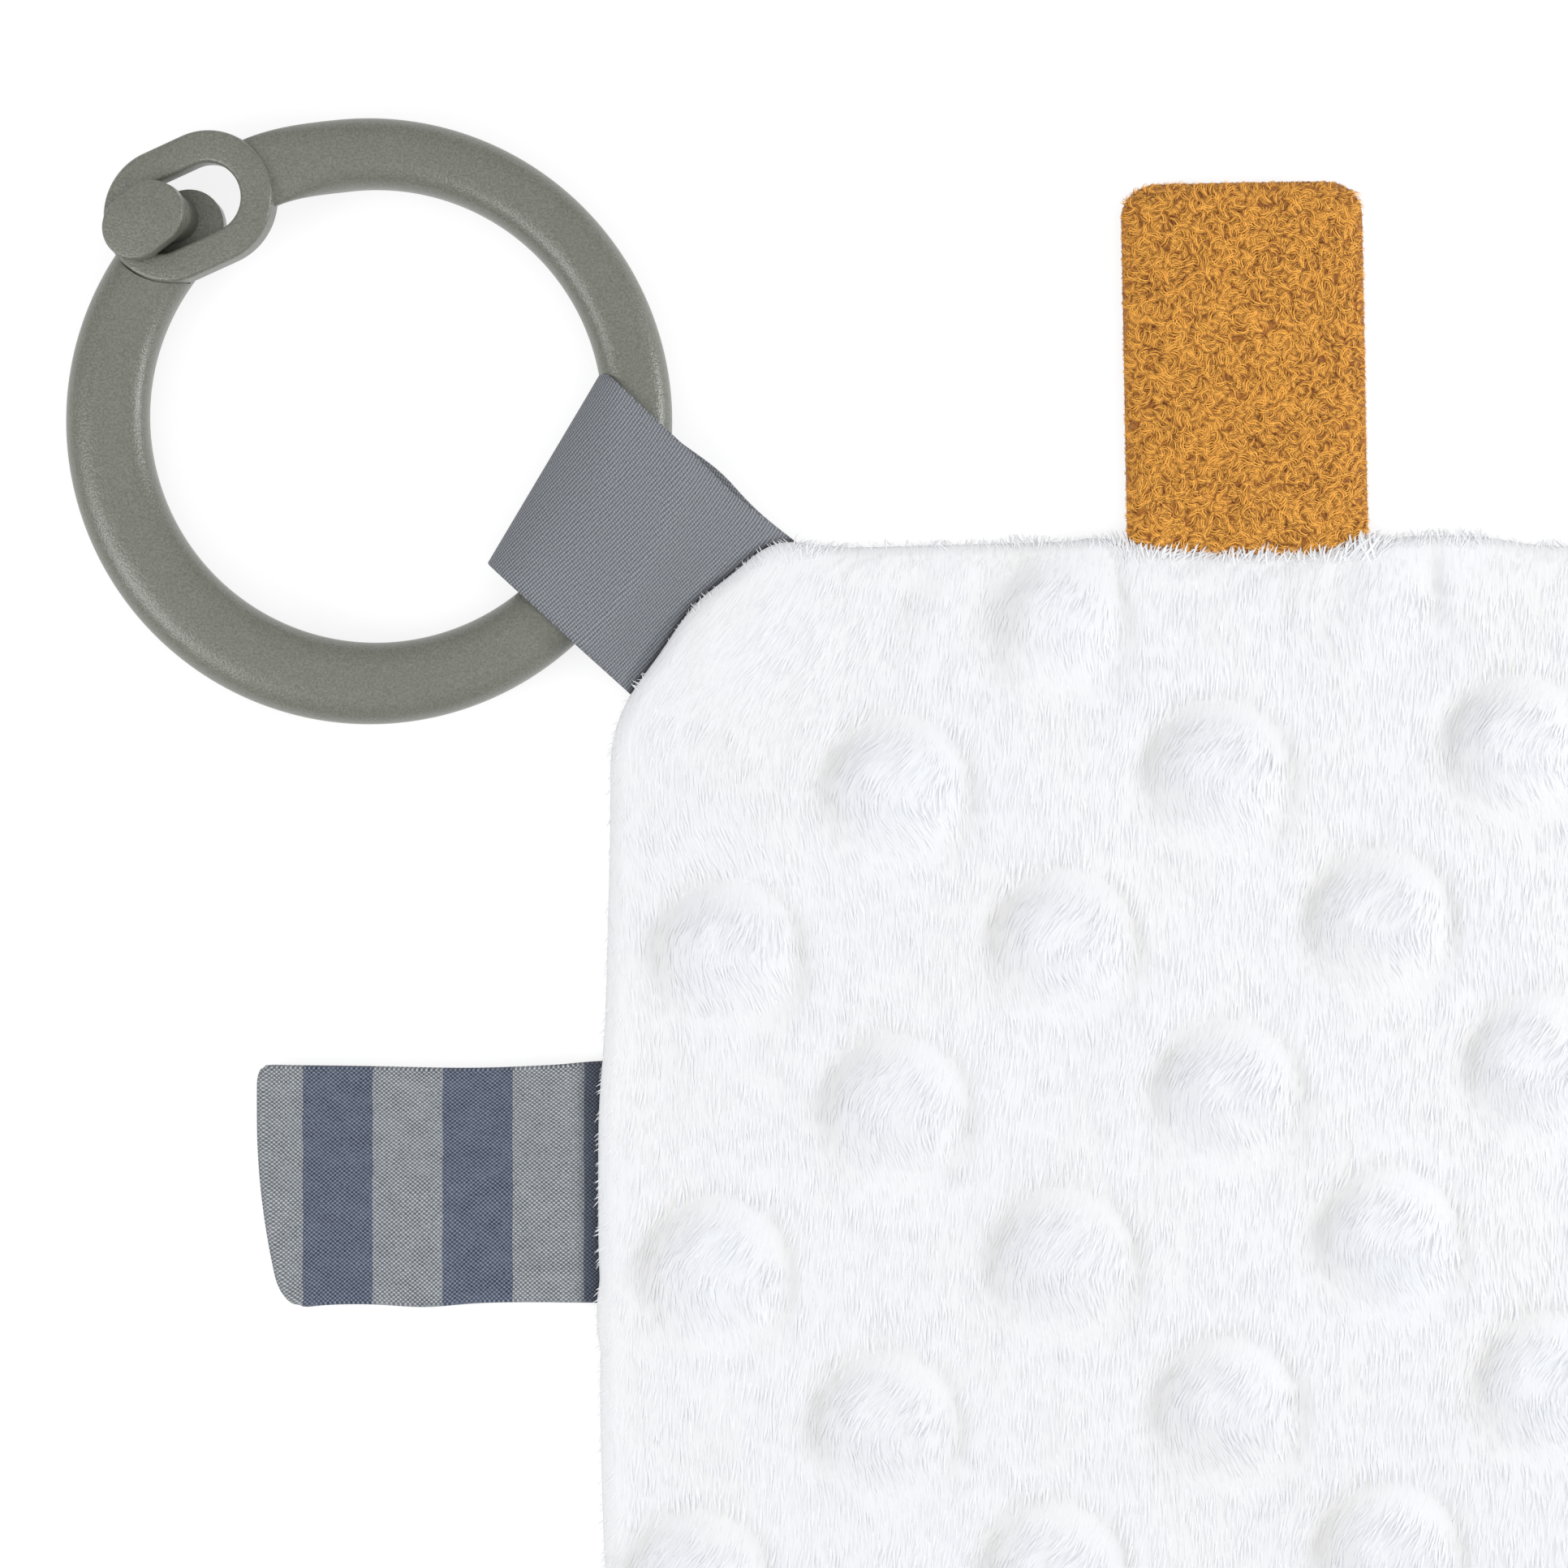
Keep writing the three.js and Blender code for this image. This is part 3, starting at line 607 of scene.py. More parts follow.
def border(size):
    """The outermost points of a square grid, in order."""
    side, end = range(size - 1), size - 1
    there = [(0, k) for k in side] + [(k, end) for k in side]
    return there + [(end - row, end - column) for row, column in there]


# The bolster's underside, down to the seam, and a closed floor
rim = np.array([row * columns + column for row, column in border(columns)])
rim_shares = np.array([(line[column], line[row]) for row, column in border(columns)])
points, last, total = [points_at(x, y, z)], rim, columns ** 2
for inset, level in ((0.12, 1.75), (0.35, 1.4), (0.55, 1.05), (0.6, BACK_LEVEL + 0.02)):
    points.append(points_at(*cloth_plan(*(rim_shares.T * (1 - inset / CLOTH_HALF))), level))
    new = total + np.arange(len(rim))
    faces += zip(last, new, np.roll(new, -1), np.roll(last, -1))
    last, total = new, total + len(rim)
points.append([[0, 0, BACK_LEVEL + 0.02]])
faces += [(a, total, b) for a, b in zip(last, np.roll(last, -1))]
plush_pad = outward(piece("plush_pad", np.vstack(points), faces))
print("plush pad:", len(plush_pad.data.polygons), "faces, top at", round(float(z.max()), 1), "mm")

# %% [markdown]
# ## Which way the nap lies
#
# The pile lies towards the toy's lower side. On the upper left of each dot it is swept round to the lower
# left, and near the ribbon's corner it slants as well. One smooth function says all this: the nap lies
# along the lines on which it keeps its value. Its slope turns every tuft, and its value, stored on the
# mesh with the way down and the painted shade of the valleys, is where the material draws its streaks.

# %% The nap
def nap_line(x, y):
    near_corner = 0.8 * np.exp(-((x + 64) ** 2 + (y - 62) ** 2) / (2 * 15.0 ** 2))
    wander = 0.6 * ripple(x, y, 17, 41) + 0.13 * ripple(x, y, 5, 42) + 0.03 * ripple(x, y, 1.5, 43)
    return x + wander - 0.62 * dotted(x, y)[2] - near_corner * (y - 62)


px, py, pz = spots(plush_pad).T
# Painted shade for the plush's colour, from the valleys round the dots and the pleats, kept in the nap's place
valley_shade = dotted(px, py)[1] + 0.7 * pleated(px, py)
keep(plush_pad, "nap_place_and_shade", points_at(nap_line(px, py), py + 0.3 * px, valley_shade) * MILLIMETRE)

# %% [markdown]
# ## The plush's finish
#
# The ground under the pile is knitted polyester. It is nearly white, with soft streaks about 0.2 mm wide
# along the nap, where the pile parts, and now and then a short crevice, painted darker as shade. In the
# valleys round the dots and in the pleats, painted shade makes the colour a little darker and warmer, and
# on the dots the colour is painted a little cooler.

# %% Plush finishes
def painted_relief_shade(colour, painted_dot_tint):
    """Paints shade into a colour: darker and warmer in the valleys round the dots and in the pleats, cooler on the
    dots.
    """
    valley_shade = times(parts(stored(home(colour), "nap_place_and_shade", "Vector"))[2], 1 / MILLIMETRE)
    return tinted(tinted(colour, valley_shade, 0.36, "#cfccc6"), valley_shade, -0.6, painted_dot_tint)


plush_ground, tree, shader = finish("knitted_polyester_plush", Roughness=0.95, Sheen_Weight=0.2, Sheen_Roughness=0.6)
nap_place_and_shade = stored(tree, "nap_place_and_shade", "Vector")
streaks = grain(nap_place_and_shade, (0.00042, 0.0036, 1), detail=3)
crevice = ramp(grain(nap_place_and_shade, (0.00032, 0.0022, 1)), 0.57, 0.72)
clouds = grain(nap_place_and_shade, (0.012, 0.02, 1), detail=1)
# Painted shade: the ground's colour is darker in the crevices where the pile parts
ground = tinted(blend_colours(clouds, "#eeedeb", "#eaedf2"), crevice, 0.22, "#cfcdca")
paint(shader, tinted(painted_relief_shade(ground, "#e4e8f0"), streaks, 0.17, "#f8f9fa"))
hair_height = maths("SUBTRACT", streaks, times(crevice, 0.5))
raise_surface(shader, hair_height, 0.0005, 0.22)
plush_pad.data.materials.append(plush_ground)

plush_pile, tree, shader = finish("polyester_pile", Roughness=0.85, Sheen_Weight=0.2, Sheen_Roughness=0.5)
paint(shader, painted_relief_shade(blend_colours(stored(tree, "shade"), "#eff0f2", "#f3f4f6"), "#e6eaf2"))

# %% [markdown]
# ## A tree that plants pile
#
# Plush and teddy fleece are both pile, so one tree of Geometry Nodes plants both. It scatters points over a
# surface, stands a tuft on each, turns it along the nap, and gives each its own length, lift and shade.
# Real pile has many thousand fibres to the square centimetre, and a tuft stands for a lock of them.

# %% The pile tree
def pile_tree():
    tree = bpy.data.node_groups.new("plant_pile", "GeometryNodeTree")
    for name, kind in (
        ("Surface", "Geometry"), ("Tuft", "Object"), ("Finish", "Material"), ("Seed", "Int"),
        ("Tufts per square metre", "Float"), ("Shortest", "Float"), ("Longest", "Float"),
        ("Least turn", "Vector"), ("Most turn", "Vector"),
    ):
        tree.interface.new_socket(name, in_out="INPUT", socket_type="NodeSocket" + kind)
    tree.interface.new_socket("Pile", in_out="OUTPUT", socket_type="NodeSocketGeometry")
    given = add(tree, "NodeGroupInput").outputs

    def on_surface(name, kind="FLOAT"):
        return add(tree, "GeometryNodeInputNamedAttribute", {0: name}, data_type=kind).outputs[0]

    def drawn(low, high, draw):
        """A random number for each tuft. Each draw has a seed of its own."""
        limits = {2: low, 3: high, "Seed": maths("ADD", given["Seed"], draw)}
        return add(tree, "FunctionNodeRandomValue", limits, data_type="FLOAT").outputs[1]

    density = times(given["Tufts per square metre"], on_surface("cover"))
    spread = add(
        tree, "GeometryNodeDistributePointsOnFaces",
        {"Mesh": given["Surface"], "Density": density, "Seed": given["Seed"]},
    ).outputs
    upright = add(tree, "FunctionNodeAlignRotationToVector", {"Vector": spread["Normal"]}, axis="Z")
    combed = add(
        tree, "FunctionNodeAlignRotationToVector",
        {"Rotation": upright, "Vector": on_surface("nap", "FLOAT_VECTOR")}, axis="Y", pivot_axis="Z",
    )
    turn = add(
        tree, "FunctionNodeRandomValue",
        {0: given["Least turn"], 1: given["Most turn"], "Seed": given["Seed"]}, data_type="FLOAT_VECTOR",
    )
    spin = add(tree, "FunctionNodeEulerToRotation", {0: turn})
    turned = add(tree, "FunctionNodeRotateRotation", {0: combed, 1: spin}, rotation_space="LOCAL")
    size = times(drawn(given["Shortest"], given["Longest"], 1), on_surface("reach"))
    tuft = add(tree, "GeometryNodeObjectInfo", {"Object": given["Tuft"]}).outputs["Geometry"]
    planted = add(
        tree, "GeometryNodeInstanceOnPoints",
        {"Points": spread["Points"], "Instance": tuft, "Rotation": turned, "Scale": size},
    )
    shaded = add(
        tree, "GeometryNodeStoreNamedAttribute",
        {"Geometry": planted, "Name": "shade", "Value": drawn(0.0, 1.0, 2)}, data_type="FLOAT", domain="INSTANCE",
    )
    real = add(tree, "GeometryNodeRealizeInstances", {0: shaded})
    done = add(tree, "GeometryNodeSetMaterial", {"Geometry": real, "Material": given["Finish"]})
    add(tree, "NodeGroupOutput", {0: done})
    return tree


plant_pile = pile_tree()


def plant(name, surface, nap, cover, reach, **inputs):
    """Plants tufts on a copy of a surface, and returns them as a plain mesh object."""
    bed = put("pile_bed", surface.data.copy())
    for label, values in (("nap", nap), ("cover", cover), ("reach", reach)):
        keep(bed, label, values)
    modifier = bed.modifiers.new("pile", "NODES")
    modifier.node_group = plant_pile
    named = {item.name: item.identifier for item in plant_pile.interface.items_tree if item.in_out == "INPUT"}
    for label, value in inputs.items():
        modifier[named[label.replace("_", " ")]] = value
    made = put(name, shaped_mesh(bed))
    bpy.data.objects.remove(bed)
    made.data.name = name
    made.data.shade_smooth()
    print(name + ":", len(made.data.polygons), "faces")
    return made


def tuft_blade(name, *fibres):
    """Flat tapering fibres along +Y. Each is a list of (x, y, z, half width), as shares of the tuft's length."""
    points, faces, tones_and_root_shade = [], [], []
    for number, stations in enumerate(fibres):
        # Each fibre has a tone of its own, and painted shade darkens it towards its root
        tones_and_root_shade += [0.85 * (number * 0.37 % 1.0) + 0.45 * k / (2 * len(stations) - 1) for k in range(2 * len(stations))]
        faces += grid_faces(len(stations), 2, first=len(points))
        for k, (at_x, at_y, at_z, half) in enumerate(stations):
            before, after = stations[max(k - 1, 0)], stations[min(k + 1, len(stations) - 1)]
            heading = Vector((after[0] - before[0], after[1] - before[1], 0)).normalized()
            across = Vector((heading.y, -heading.x, 0)) * half
            points += [Vector((at_x, at_y, at_z)) - across, Vector((at_x, at_y, at_z)) + across]
    made = put(name, bpy.data.meshes.new(name))
    made.data.from_pydata([list(point) for point in points], [], faces)
    keep(made, "fibre", tones_and_root_shade)
    return made


# %% [markdown]
# ## The plush's pile
#
# The tufts are short and lie almost flat, so that they break up the surface without standing out of it.
# Along the seam they are pressed outwards, and at the roots of the tabs single locks stand over the tab.

# %% Plant the plush's pile
step = 0.25  # mm each way, over which the slopes are read
nap_x = (nap_line(px, py + step) - nap_line(px, py - step)) / (2 * step)
nap_y = -(nap_line(px + step, py) - nap_line(px - step, py)) / (2 * step)
edge_x = cloth_inset(px - step, py) - cloth_inset(px + step, py)
edge_y = cloth_inset(px, py - step) - cloth_inset(px, py + step)
edge_size = np.maximum(np.hypot(edge_x, edge_y), 1e-6)
inset = cloth_inset(px, py)
press = 1 - smoothstep(0.2, 3.0, inset)
nap_x = nap_x * (1 - press) + press * edge_x / edge_size
nap_y = nap_y * (1 - press) + press * (edge_y / edge_size - 0.5)
nap = points_at(nap_x, nap_y, 0)
at_ribbon = np.exp(-(((px + 63) / 9) ** 4) - (((py - 63) / 9) ** 4))
cover = smoothstep(1.9, 2.2, pz) * (1 - 0.7 * at_ribbon * (inset < 2))
reach = (0.5 + 0.5 * smoothstep(0.5, 4, inset)) * (1 - 0.5 * at_ribbon)

lock = tuft_blade("plush_lock", [(0, 0, -0.02, 0.04), (0.02, 0.5, 0.026, 0.046), (0.06, 1, 0.012, 0.005)])
plush_locks = plant(
    "plush_pile", plush_pad, nap, cover, reach, Tuft=lock, Tufts_per_square_metre=1.8e6, Shortest=0.0016,
    Longest=0.003, Least_turn=(-0.01, -0.045, -0.16), Most_turn=(0.035, 0.045, 0.16), Seed=4, Finish=plush_pile,
)
# Wisps: single locks over the seam, close together at the roots of the fleece tabs and at the ribbon
at_tab = np.abs(px + 0.9 * np.sign(py)) < 14.5
at_corner = at_ribbon > 0.3
wisp_cover = (0.9 * (inset < 1.2) + 0.9 * at_tab) * ((np.abs(py) > 66.5) & (inset < 2.8) & (np.abs(px) < 50))
wisp_cover = (wisp_cover + 0.6 * (at_corner & (inset < 1))) * (pz > 2.6)
upward_x = np.where(at_corner, edge_x / edge_size, 0.8 * ripple(px, py, 3, 51))
upward = points_at(upward_x, np.where(at_corner, edge_y / edge_size, np.sign(py)), 0)
wisp_reach = 0.62 - 0.2 * at_corner + 0.2 * at_tab + 0.6 * bell(px * np.sign(py), 12, 3)
wisp_reach = wisp_reach + 0.25 * ripple(px, py, 2, 52)
wisp = tuft_blade(
    "plush_wisp", [(0, 0, -0.02, 0.04), (0.02, 0.35, 0.05, 0.052), (0.06, 0.7, 0.07, 0.042), (0.16, 1, 0.04, 0.006)],
)
wisps = plant(
    "plush_wisps", plush_pad, upward, wisp_cover, wisp_reach, Tuft=wisp, Tufts_per_square_metre=9e6, Shortest=0.0011,
    Longest=0.0024, Least_turn=(0.0, -0.25, -0.6), Most_turn=(0.2, 0.25, 0.6), Seed=9, Finish=plush_pile,
)
bpy.data.objects.remove(lock)
bpy.data.objects.remove(wisp)

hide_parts("front_panel", "wadding")
for item in (plush_pad, plush_locks, wisps):
    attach(item, "cloth")

# %% [markdown]
# ## The cotton back and the film
#
# The back is plain woven cotton. It lies flat on the table, and curls up at the edge to meet the plush.
# The film is a sheet of crackling plastic that lies loose inside. Nobody sees it, but the toy is named for
# it, so it is there, with the sharp little facets of a crumpled sheet.

# %% The cotton back
COTTON_THICKNESS = 0.3
EDGE_CURL = 0.75  # mm by which the edge curls up to the seam
border_shares = np.linspace(0.94, 1, 7)[1:]  # closer rows where the edge curls up
back_line = np.concatenate([-border_shares[::-1], np.linspace(-0.94, 0.94, 60), border_shares])
u, v, x, y = cloth_grid(back_line)
reach = np.maximum(np.abs(u), np.abs(v))
inset_share = 1 - 0.5 / CLOTH_HALF
lower = points_at(x * inset_share, y * inset_share, EDGE_CURL * smoothstep(0.965, 1.0, reach) ** 2)
upper = lower + [0, 0, COTTON_THICKNESS]
upper[:, 2] = np.where(reach.ravel() > 0.999, lower[:, 2] + 0.02, upper[:, 2])
rows = len(back_line)
shift = rows * rows
faces = [tuple(reversed(quad)) for quad in grid_faces(rows, rows)] + grid_faces(rows, rows, first=shift)
loop = np.array([row * rows + column for row, column in border(rows)])
faces += zip(loop, np.roll(loop, -1), np.roll(loop, -1) + shift, loop + shift)
cotton_back = outward(piece("cotton_back", np.vstack([lower, upper]), faces))

THREAD = 0.0004  # metres; a cotton sheeting has 0.25 mm, drawn coarser so that it shows
cotton, tree, shader = finish("plain_woven_cotton", Roughness=0.92, Sheen_Weight=0.1, Sheen_Roughness=0.5)
place = object_place(tree)
warp, weft = [waves_along(parts(place)[axis], THREAD) for axis in (0, 1)]
weave = maths("MULTIPLY_ADD", times(warp, weft), 0.5, 0.5)
slubs = grain(place, (0.012, 0.0006, 0.004))
tone = maths("MULTIPLY_ADD", slubs, 0.5, times(weave, 0.5))
paint(shader, blend_colours(tone, "#dedbd3", "#f2efe8"))
raise_surface(shader, tone, 0.00012)
cotton_back.data.materials.append(cotton)
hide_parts("back_panel")
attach(cotton_back, "cloth")
print("cotton back:", len(cotton_back.data.polygons), "faces")

# %% The crinkle film
FILM_ROWS = 56
FILM_SHARE = 0.952  # of the cloth's size
u, v, x, y = cloth_grid(np.linspace(-1, 1, FILM_ROWS), FILM_SHARE, wave=0.0)
crumple = np.abs(ripple(x, y, 9, 31)) + 0.6 * np.abs(ripple(x, y, 5, 32))
film_points = points_at(x, y, 0.8 + 0.5 * crumple / crumple.max())
crinkle_sheet = piece("crinkle_sheet", film_points, grid_faces(FILM_ROWS, FILM_ROWS))
film, tree, shader = finish("cast_polyester_film", Roughness=0.25, IOR=1.57)
creases = grain(object_place(tree), 0.004, detail=4)
paint(shader, blend_colours(creases, "#ccd3d8", "#eef2f4"))
raise_surface(shader, creases, 0.0003)
crinkle_sheet.data.materials.append(film)
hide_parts("crinkle_film")
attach(crinkle_sheet, "cloth")
print("crinkle film:", len(crinkle_sheet.data.polygons), "faces")

# %% [markdown]
# ## The teddy tabs
#
# A teddy tab is two layers of curly fleece, sewn along three sides and turned, so its edge is round and
# full. The ground is a loft of rounded sections from the seam to the outer end. Real teddy pile is crimped
# into locks of about one millimetre that hook over like commas. One such lock of four fibres is planted
# some ten thousand times, each with its own turn. Locks stand longest in the middle of a face and shorter
# towards the outline and underneath. The ground under them is painted darker, and each fibre darker
# towards its root, as painted shade deep in the pile.

# %% Teddy finishes
teddy_ground, tree, shader = finish("teddy_fleece_ground", Roughness=1.0, Sheen_Weight=0.2, Sheen_Roughness=0.6)
clumps = grain(object_place(tree), 0.0006, detail=3, distortion=1.5)
# Painted shade: the ground is darker than the locks, as the shade deep in the pile is
paint(shader, blend_colours(clumps, "#965418", "#d88e38"))
raise_surface(shader, clumps, 0.0006)

teddy_curl, tree, shader = finish("crimped_polyester_pile", Roughness=0.85, Sheen_Weight=0.2, Sheen_Roughness=0.5)
patches = grain(object_place(tree), 0.003)
tone = maths("ADD", times(stored(tree, "shade"), 0.35), times(patches, 0.6))
# The fibre attribute holds each fibre's own tone and the painted shade at its root
tone = maths("MULTIPLY_ADD", stored(tree, "fibre"), 1.4, maths("SUBTRACT", tone, 0.47))
paint(shader, blend_colours(tone, "#6c2f05", "#ffb94f"))

# %% Teddy tabs
TAB_AXIS = 1.4  # from the cloth's side to a tab's hinge line
TAB_MIDDLE = 2.0
FLEECE_WIDTH = 26.3
FLEECE_LENGTH = 38.6
FLEECE_CORNER = 3.8
FLEECE_HALF = 1.75
FLEECE_LEAN = 0.018  # sideways for each millimetre out: the tab stands a little askew
FLEECE_SHIFT = 0.35
PILE_DEPTH = 0.12  # by which the ground is smaller than the tab's outline


def turned(points, turn):
    """Points turned about Z. A tab is made standing out of the upper side, and then turned to its own side."""
    cosine, sine = cos(turn), sin(turn)
    x, y, z = points.T
    return points_at(cosine * x - sine * y, sine * x + cosine * y, z)


def teddy_tab(name, turn, shift):
    """A rounded tab along +Y from inside the seam, turned to its side of the cloth."""
    spin = np.linspace(0, 2 * pi, 56, endpoint=False)
    straight = FLEECE_LENGTH - FLEECE_CORNER
    stations = [*np.linspace(-3.2, 8, 15), *np.linspace(9.5, straight, 16)]
    stations += [*(straight + (FLEECE_CORNER - PILE_DEPTH) * np.sin(quarter(13)[1:]))]
    rows = []
    for along in stations:
        corner = np.clip((along - straight) / (FLEECE_CORNER - PILE_DEPTH), 0, 1)
        bend = sqrt(max(1 - corner ** 2, 0.0004))
        rooted = smoothstep(TAB_AXIS - 1.5, TAB_AXIS + 5, along)
        half = (0.55 + (FLEECE_HALF - PILE_DEPTH - 0.55) * rooted) * (0.3 + 0.7 * bend)
        width = FLEECE_WIDTH / 2 - PILE_DEPTH - FLEECE_CORNER * (1 - bend)
        across, up = squared(np.cos(spin), 3.2, width), squared(np.sin(spin), 2.2, half)
        end = along + FLEECE_LEAN * across * smoothstep(15, 30, along)
        rows.append(points_at(across + FLEECE_SHIFT - FLEECE_LEAN * along + shift, CLOTH_HALF + end, TAB_MIDDLE + up))
    points, faces = closed_loft(rows)
    return outward(piece(name, turned(points, turn), faces))


def fibre(bend, aside, reach):
    """One crimped fibre of a lock: it leaves its root, hooks over and tapers."""
    way = []
    for share in np.linspace(0, 1, 4):
        angle = bend * share
        across = aside * (0.5 + 0.7 * share) + reach * (1 - cos(angle)) / bend
        width = 0.036 * (1 - share ** 3) + 0.006
        way.append((across, reach * sin(angle) / bend * 1.15, 0.26 * sin(pi * share * 0.9), width))
    return way


FIBRES = ((1.3, -0.20, 1.0), (1.5, -0.07, 1.15), (1.7, 0.06, 1.0), (2.1, 0.20, 0.8))  # bend, aside, reach
comma_lock = tuft_blade("teddy_lock", *[fibre(*values) for values in FIBRES])

for name, turn, shift, seed, body in (("top", 0.0, -0.9, 11, "top_tab"), ("bottom", pi, 0.0, 12, "bottom_tab")):
    tab = teddy_tab(f"teddy_tab_{name}", turn, shift)
    tab.data.materials.append(teddy_ground)
    out = spots(tab)[:, 1] * cos(turn) - CLOTH_HALF
    upright = np.array([vertex.normal.z for vertex in tab.data.vertices])
    under = upright < -0.3
    aside = np.abs(spots(tab)[:, 0] * cos(turn) - shift - FLEECE_SHIFT + FLEECE_LEAN * out)
    inside = np.minimum(FLEECE_WIDTH / 2 - aside, FLEECE_LENGTH - out)
    reach = 0.26 + 0.74 * smoothstep(0.5, 1.0, np.abs(upright)) * smoothstep(-0.1, 1.7, inside)
    reach = reach * (1 - 0.3 * under)
    # Short locks cover less, so more of them are planted, and fewer underneath, where nobody looks
    cover = smoothstep(-2.5, -0.8, out) / np.maximum(reach, 0.4) * (1 - 0.6 * under)
    curls = plant(
        f"teddy_curls_{name}", tab, np.tile([1.0, 0.3, 0.0], (len(out), 1)), cover, reach, Tuft=comma_lock,
        Tufts_per_square_metre=4.1e6, Shortest=0.001, Longest=0.0017, Least_turn=(-0.14, -0.14, -3.14),
        Most_turn=(0.14, 0.14, 3.14), Seed=seed, Finish=teddy_curl,
    )
    for item in (tab, curls):
        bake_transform(item)
    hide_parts(f"{name}_tab_front", f"{name}_tab_back")
bpy.data.objects.remove(comma_lock)

# %% [markdown]
# ## Woven cloth on a strip
#
# The striped loops and the corner ribbon are strips of cloth. A strip is a grid that follows its own way,
# from one sewn end round the fold to the other, so that each point knows its place on the flat cut. The
# threads are drawn from that place, and so they follow the fold as real ones do.

# %% Strips and their threads
def strip(name, rows, cut, thickness):
    """A strip of cloth from rows of points across it, thickened square to its way, with round edges."""
    across = np.array([row[-1] - row[0] for row in rows])
    across /= np.linalg.norm(across, axis=1, keepdims=True)
    square = np.cross(across, np.gradient(np.array([row.mean(axis=0) for row in rows]), axis=0))
    square *= thickness / 2 / np.linalg.norm(square, axis=1, keepdims=True)
    sections, places = [], []
    for row, place, side, lift in zip(rows, cut, across * thickness / 3, square):
        sections.append(np.vstack([row + lift, row[-1] + side, (row - lift)[::-1], row[0] - side]))
        places.append(np.vstack([place, place[-1], place[::-1], place[0]]))
    points, faces = closed_loft(sections)
    return outward(piece(name, points, faces, np.vstack([*places, places[0].mean(axis=0), places[-1].mean(axis=0)])))


def tuck(made, outside, reach):
    """Stores how far each point is drawn into the seam's gap, from its distance outside the cloth's edge."""
    keep(made, "tucked", 1 - smoothstep(0, reach, outside))


def shaded_in_seam(colour, depth):
    """Darkens a colour where the strip is drawn into the seam's gap, where hardly any light comes."""
    return tinted(colour, stored(home(colour), "tucked"), depth, "#1d1d22")


def place_on_cut(tree):
    """The place on the flat cut, and its way across and along in millimetres, uneven as woven threads are."""
    cut = add(tree, "ShaderNodeUVMap", uv_map="cut").outputs[0]
    uneven = grain(cut, 0.03)
    ways = [times(parts(cut)[axis], CUT_UNIT) for axis in (0, 1)]
    return cut, *[maths("MULTIPLY_ADD", uneven, 0.3, way) for way in ways]


# %% Striped weave
STRIPE = 7.55  # mm
STRIPE_START = 4.2  # from the fold to the first change
YARN = 0.44  # mm from one raised yarn to the next in its row
striped_weave, tree, shader = finish("yarn_dyed_cotton_weave", Roughness=0.9, Sheen_Weight=0.1, Sheen_Roughness=0.5)
cut_place, across, along = place_on_cut(tree)
over = times(waves_along(across, YARN), waves_along(along, 1.15 * YARN))
over = ramp(over, -0.55, 0.75)
fuzz, patches = grain(cut_place, 0.0035), grain(cut_place, (0.02, 0.03, 0.02))
tone = maths("ADD", times(over, 0.75), times(fuzz, 0.5))
tone = maths("ADD", tone, maths("MULTIPLY_ADD", patches, 0.3, -0.27))
bands = maths("DIVIDE", maths("SUBTRACT", along, STRIPE_START), STRIPE)
dark_band = maths("LESS_THAN", maths("FLOORED_MODULO", bands, 2.0), 1.0)
pale = blend_colours(tone, "#4d5358", "#d0d5da")
deep = blend_colours(tone, "#222836", "#929db3")
paint(shader, shaded_in_seam(blend_colours(dark_band, pale, deep), 0.6))
raise_surface(shader, over, 0.00016)

# %% Striped loops
LOOP_WIDTH = 25.8
LOOP_LENGTH = 36.9
LOOP_THICKNESS = 0.7
LOOP_TUCK = 3.4  # mm out of the seam over which its shade fades


def striped_loop(name, turn, shift):
    """The strip's way: in the seam, out along the lower layer, round the fold and back along the upper."""
    rows, cut = [], []
    spread = np.linspace(-1, 1, 65)
    across = (0.45 * spread + 0.55 * np.sin(spread * pi / 2)) * LOOP_WIDTH / 2
    # The fold's line: both of its corners are worn round, and it draws back a little on one side
    lower_corner = 1.9 * (1 - np.sqrt(1 - np.clip((-across - 9.6) / 3.3, 0, 1) ** 2))
    upper_corner = 0.7 * (1 - np.sqrt(1 - np.clip((across - 10.9) / 2.0, 0, 1) ** 2))
    end = LOOP_LENGTH - lower_corner - upper_corner - 0.0066 * np.maximum(7.5 - across, 0) ** 2
    for way in np.linspace(-1, 1, 121):
        layer, share = math.copysign(1, way), abs(way)
        along = end - (end + 2.6) * (share - 0.028 * (1 - np.cos(min(share / 0.056, 1) * pi)) / 2)
        # The two layers part a little in the middle, and lie flat and lower where the seam grips them
        slack = 0.5 + 0.25 * sin(pi * min(share * 1.5, 1))
        lift = layer * (0.62 * sin(min(share / 0.05, 1) * pi / 2) + slack * 0.5 * smoothstep(0, 0.045, share))
        rooted = smoothstep(-1.0, 6.0, along)
        height = TAB_MIDDLE + lift * (0.35 + 0.65 * rooted) - 1.15 * (1 - smoothstep(-0.5, 5.0, along))
        # The sides' waves, bulges and dip, in millimetres as on the photographed loop
        waist = 1 + 0.012 * np.sin(along / 6.5) + 0.018 * (1 - rooted)
        drift = 0.35 * np.sin(along / 9.0 + 0.5)
        bulge = 0.45 * bell(along, 19, 4.5) + 0.35 * bell(along, 34, 3)
        dip = 1.3 * bell(along, 12.5, 13)
        drift = drift - bulge * np.clip(-across / 13, 0, 1) - dip * np.clip(across / 13, 0, 1)
        rows.append(turned(points_at(across * waist + drift + shift, along + CLOTH_HALF, height), turn))
        cut.append(np.column_stack([across, LOOP_LENGTH - LOOP_THICKNESS - along]))
    return strip(name, rows, cut, LOOP_THICKNESS)


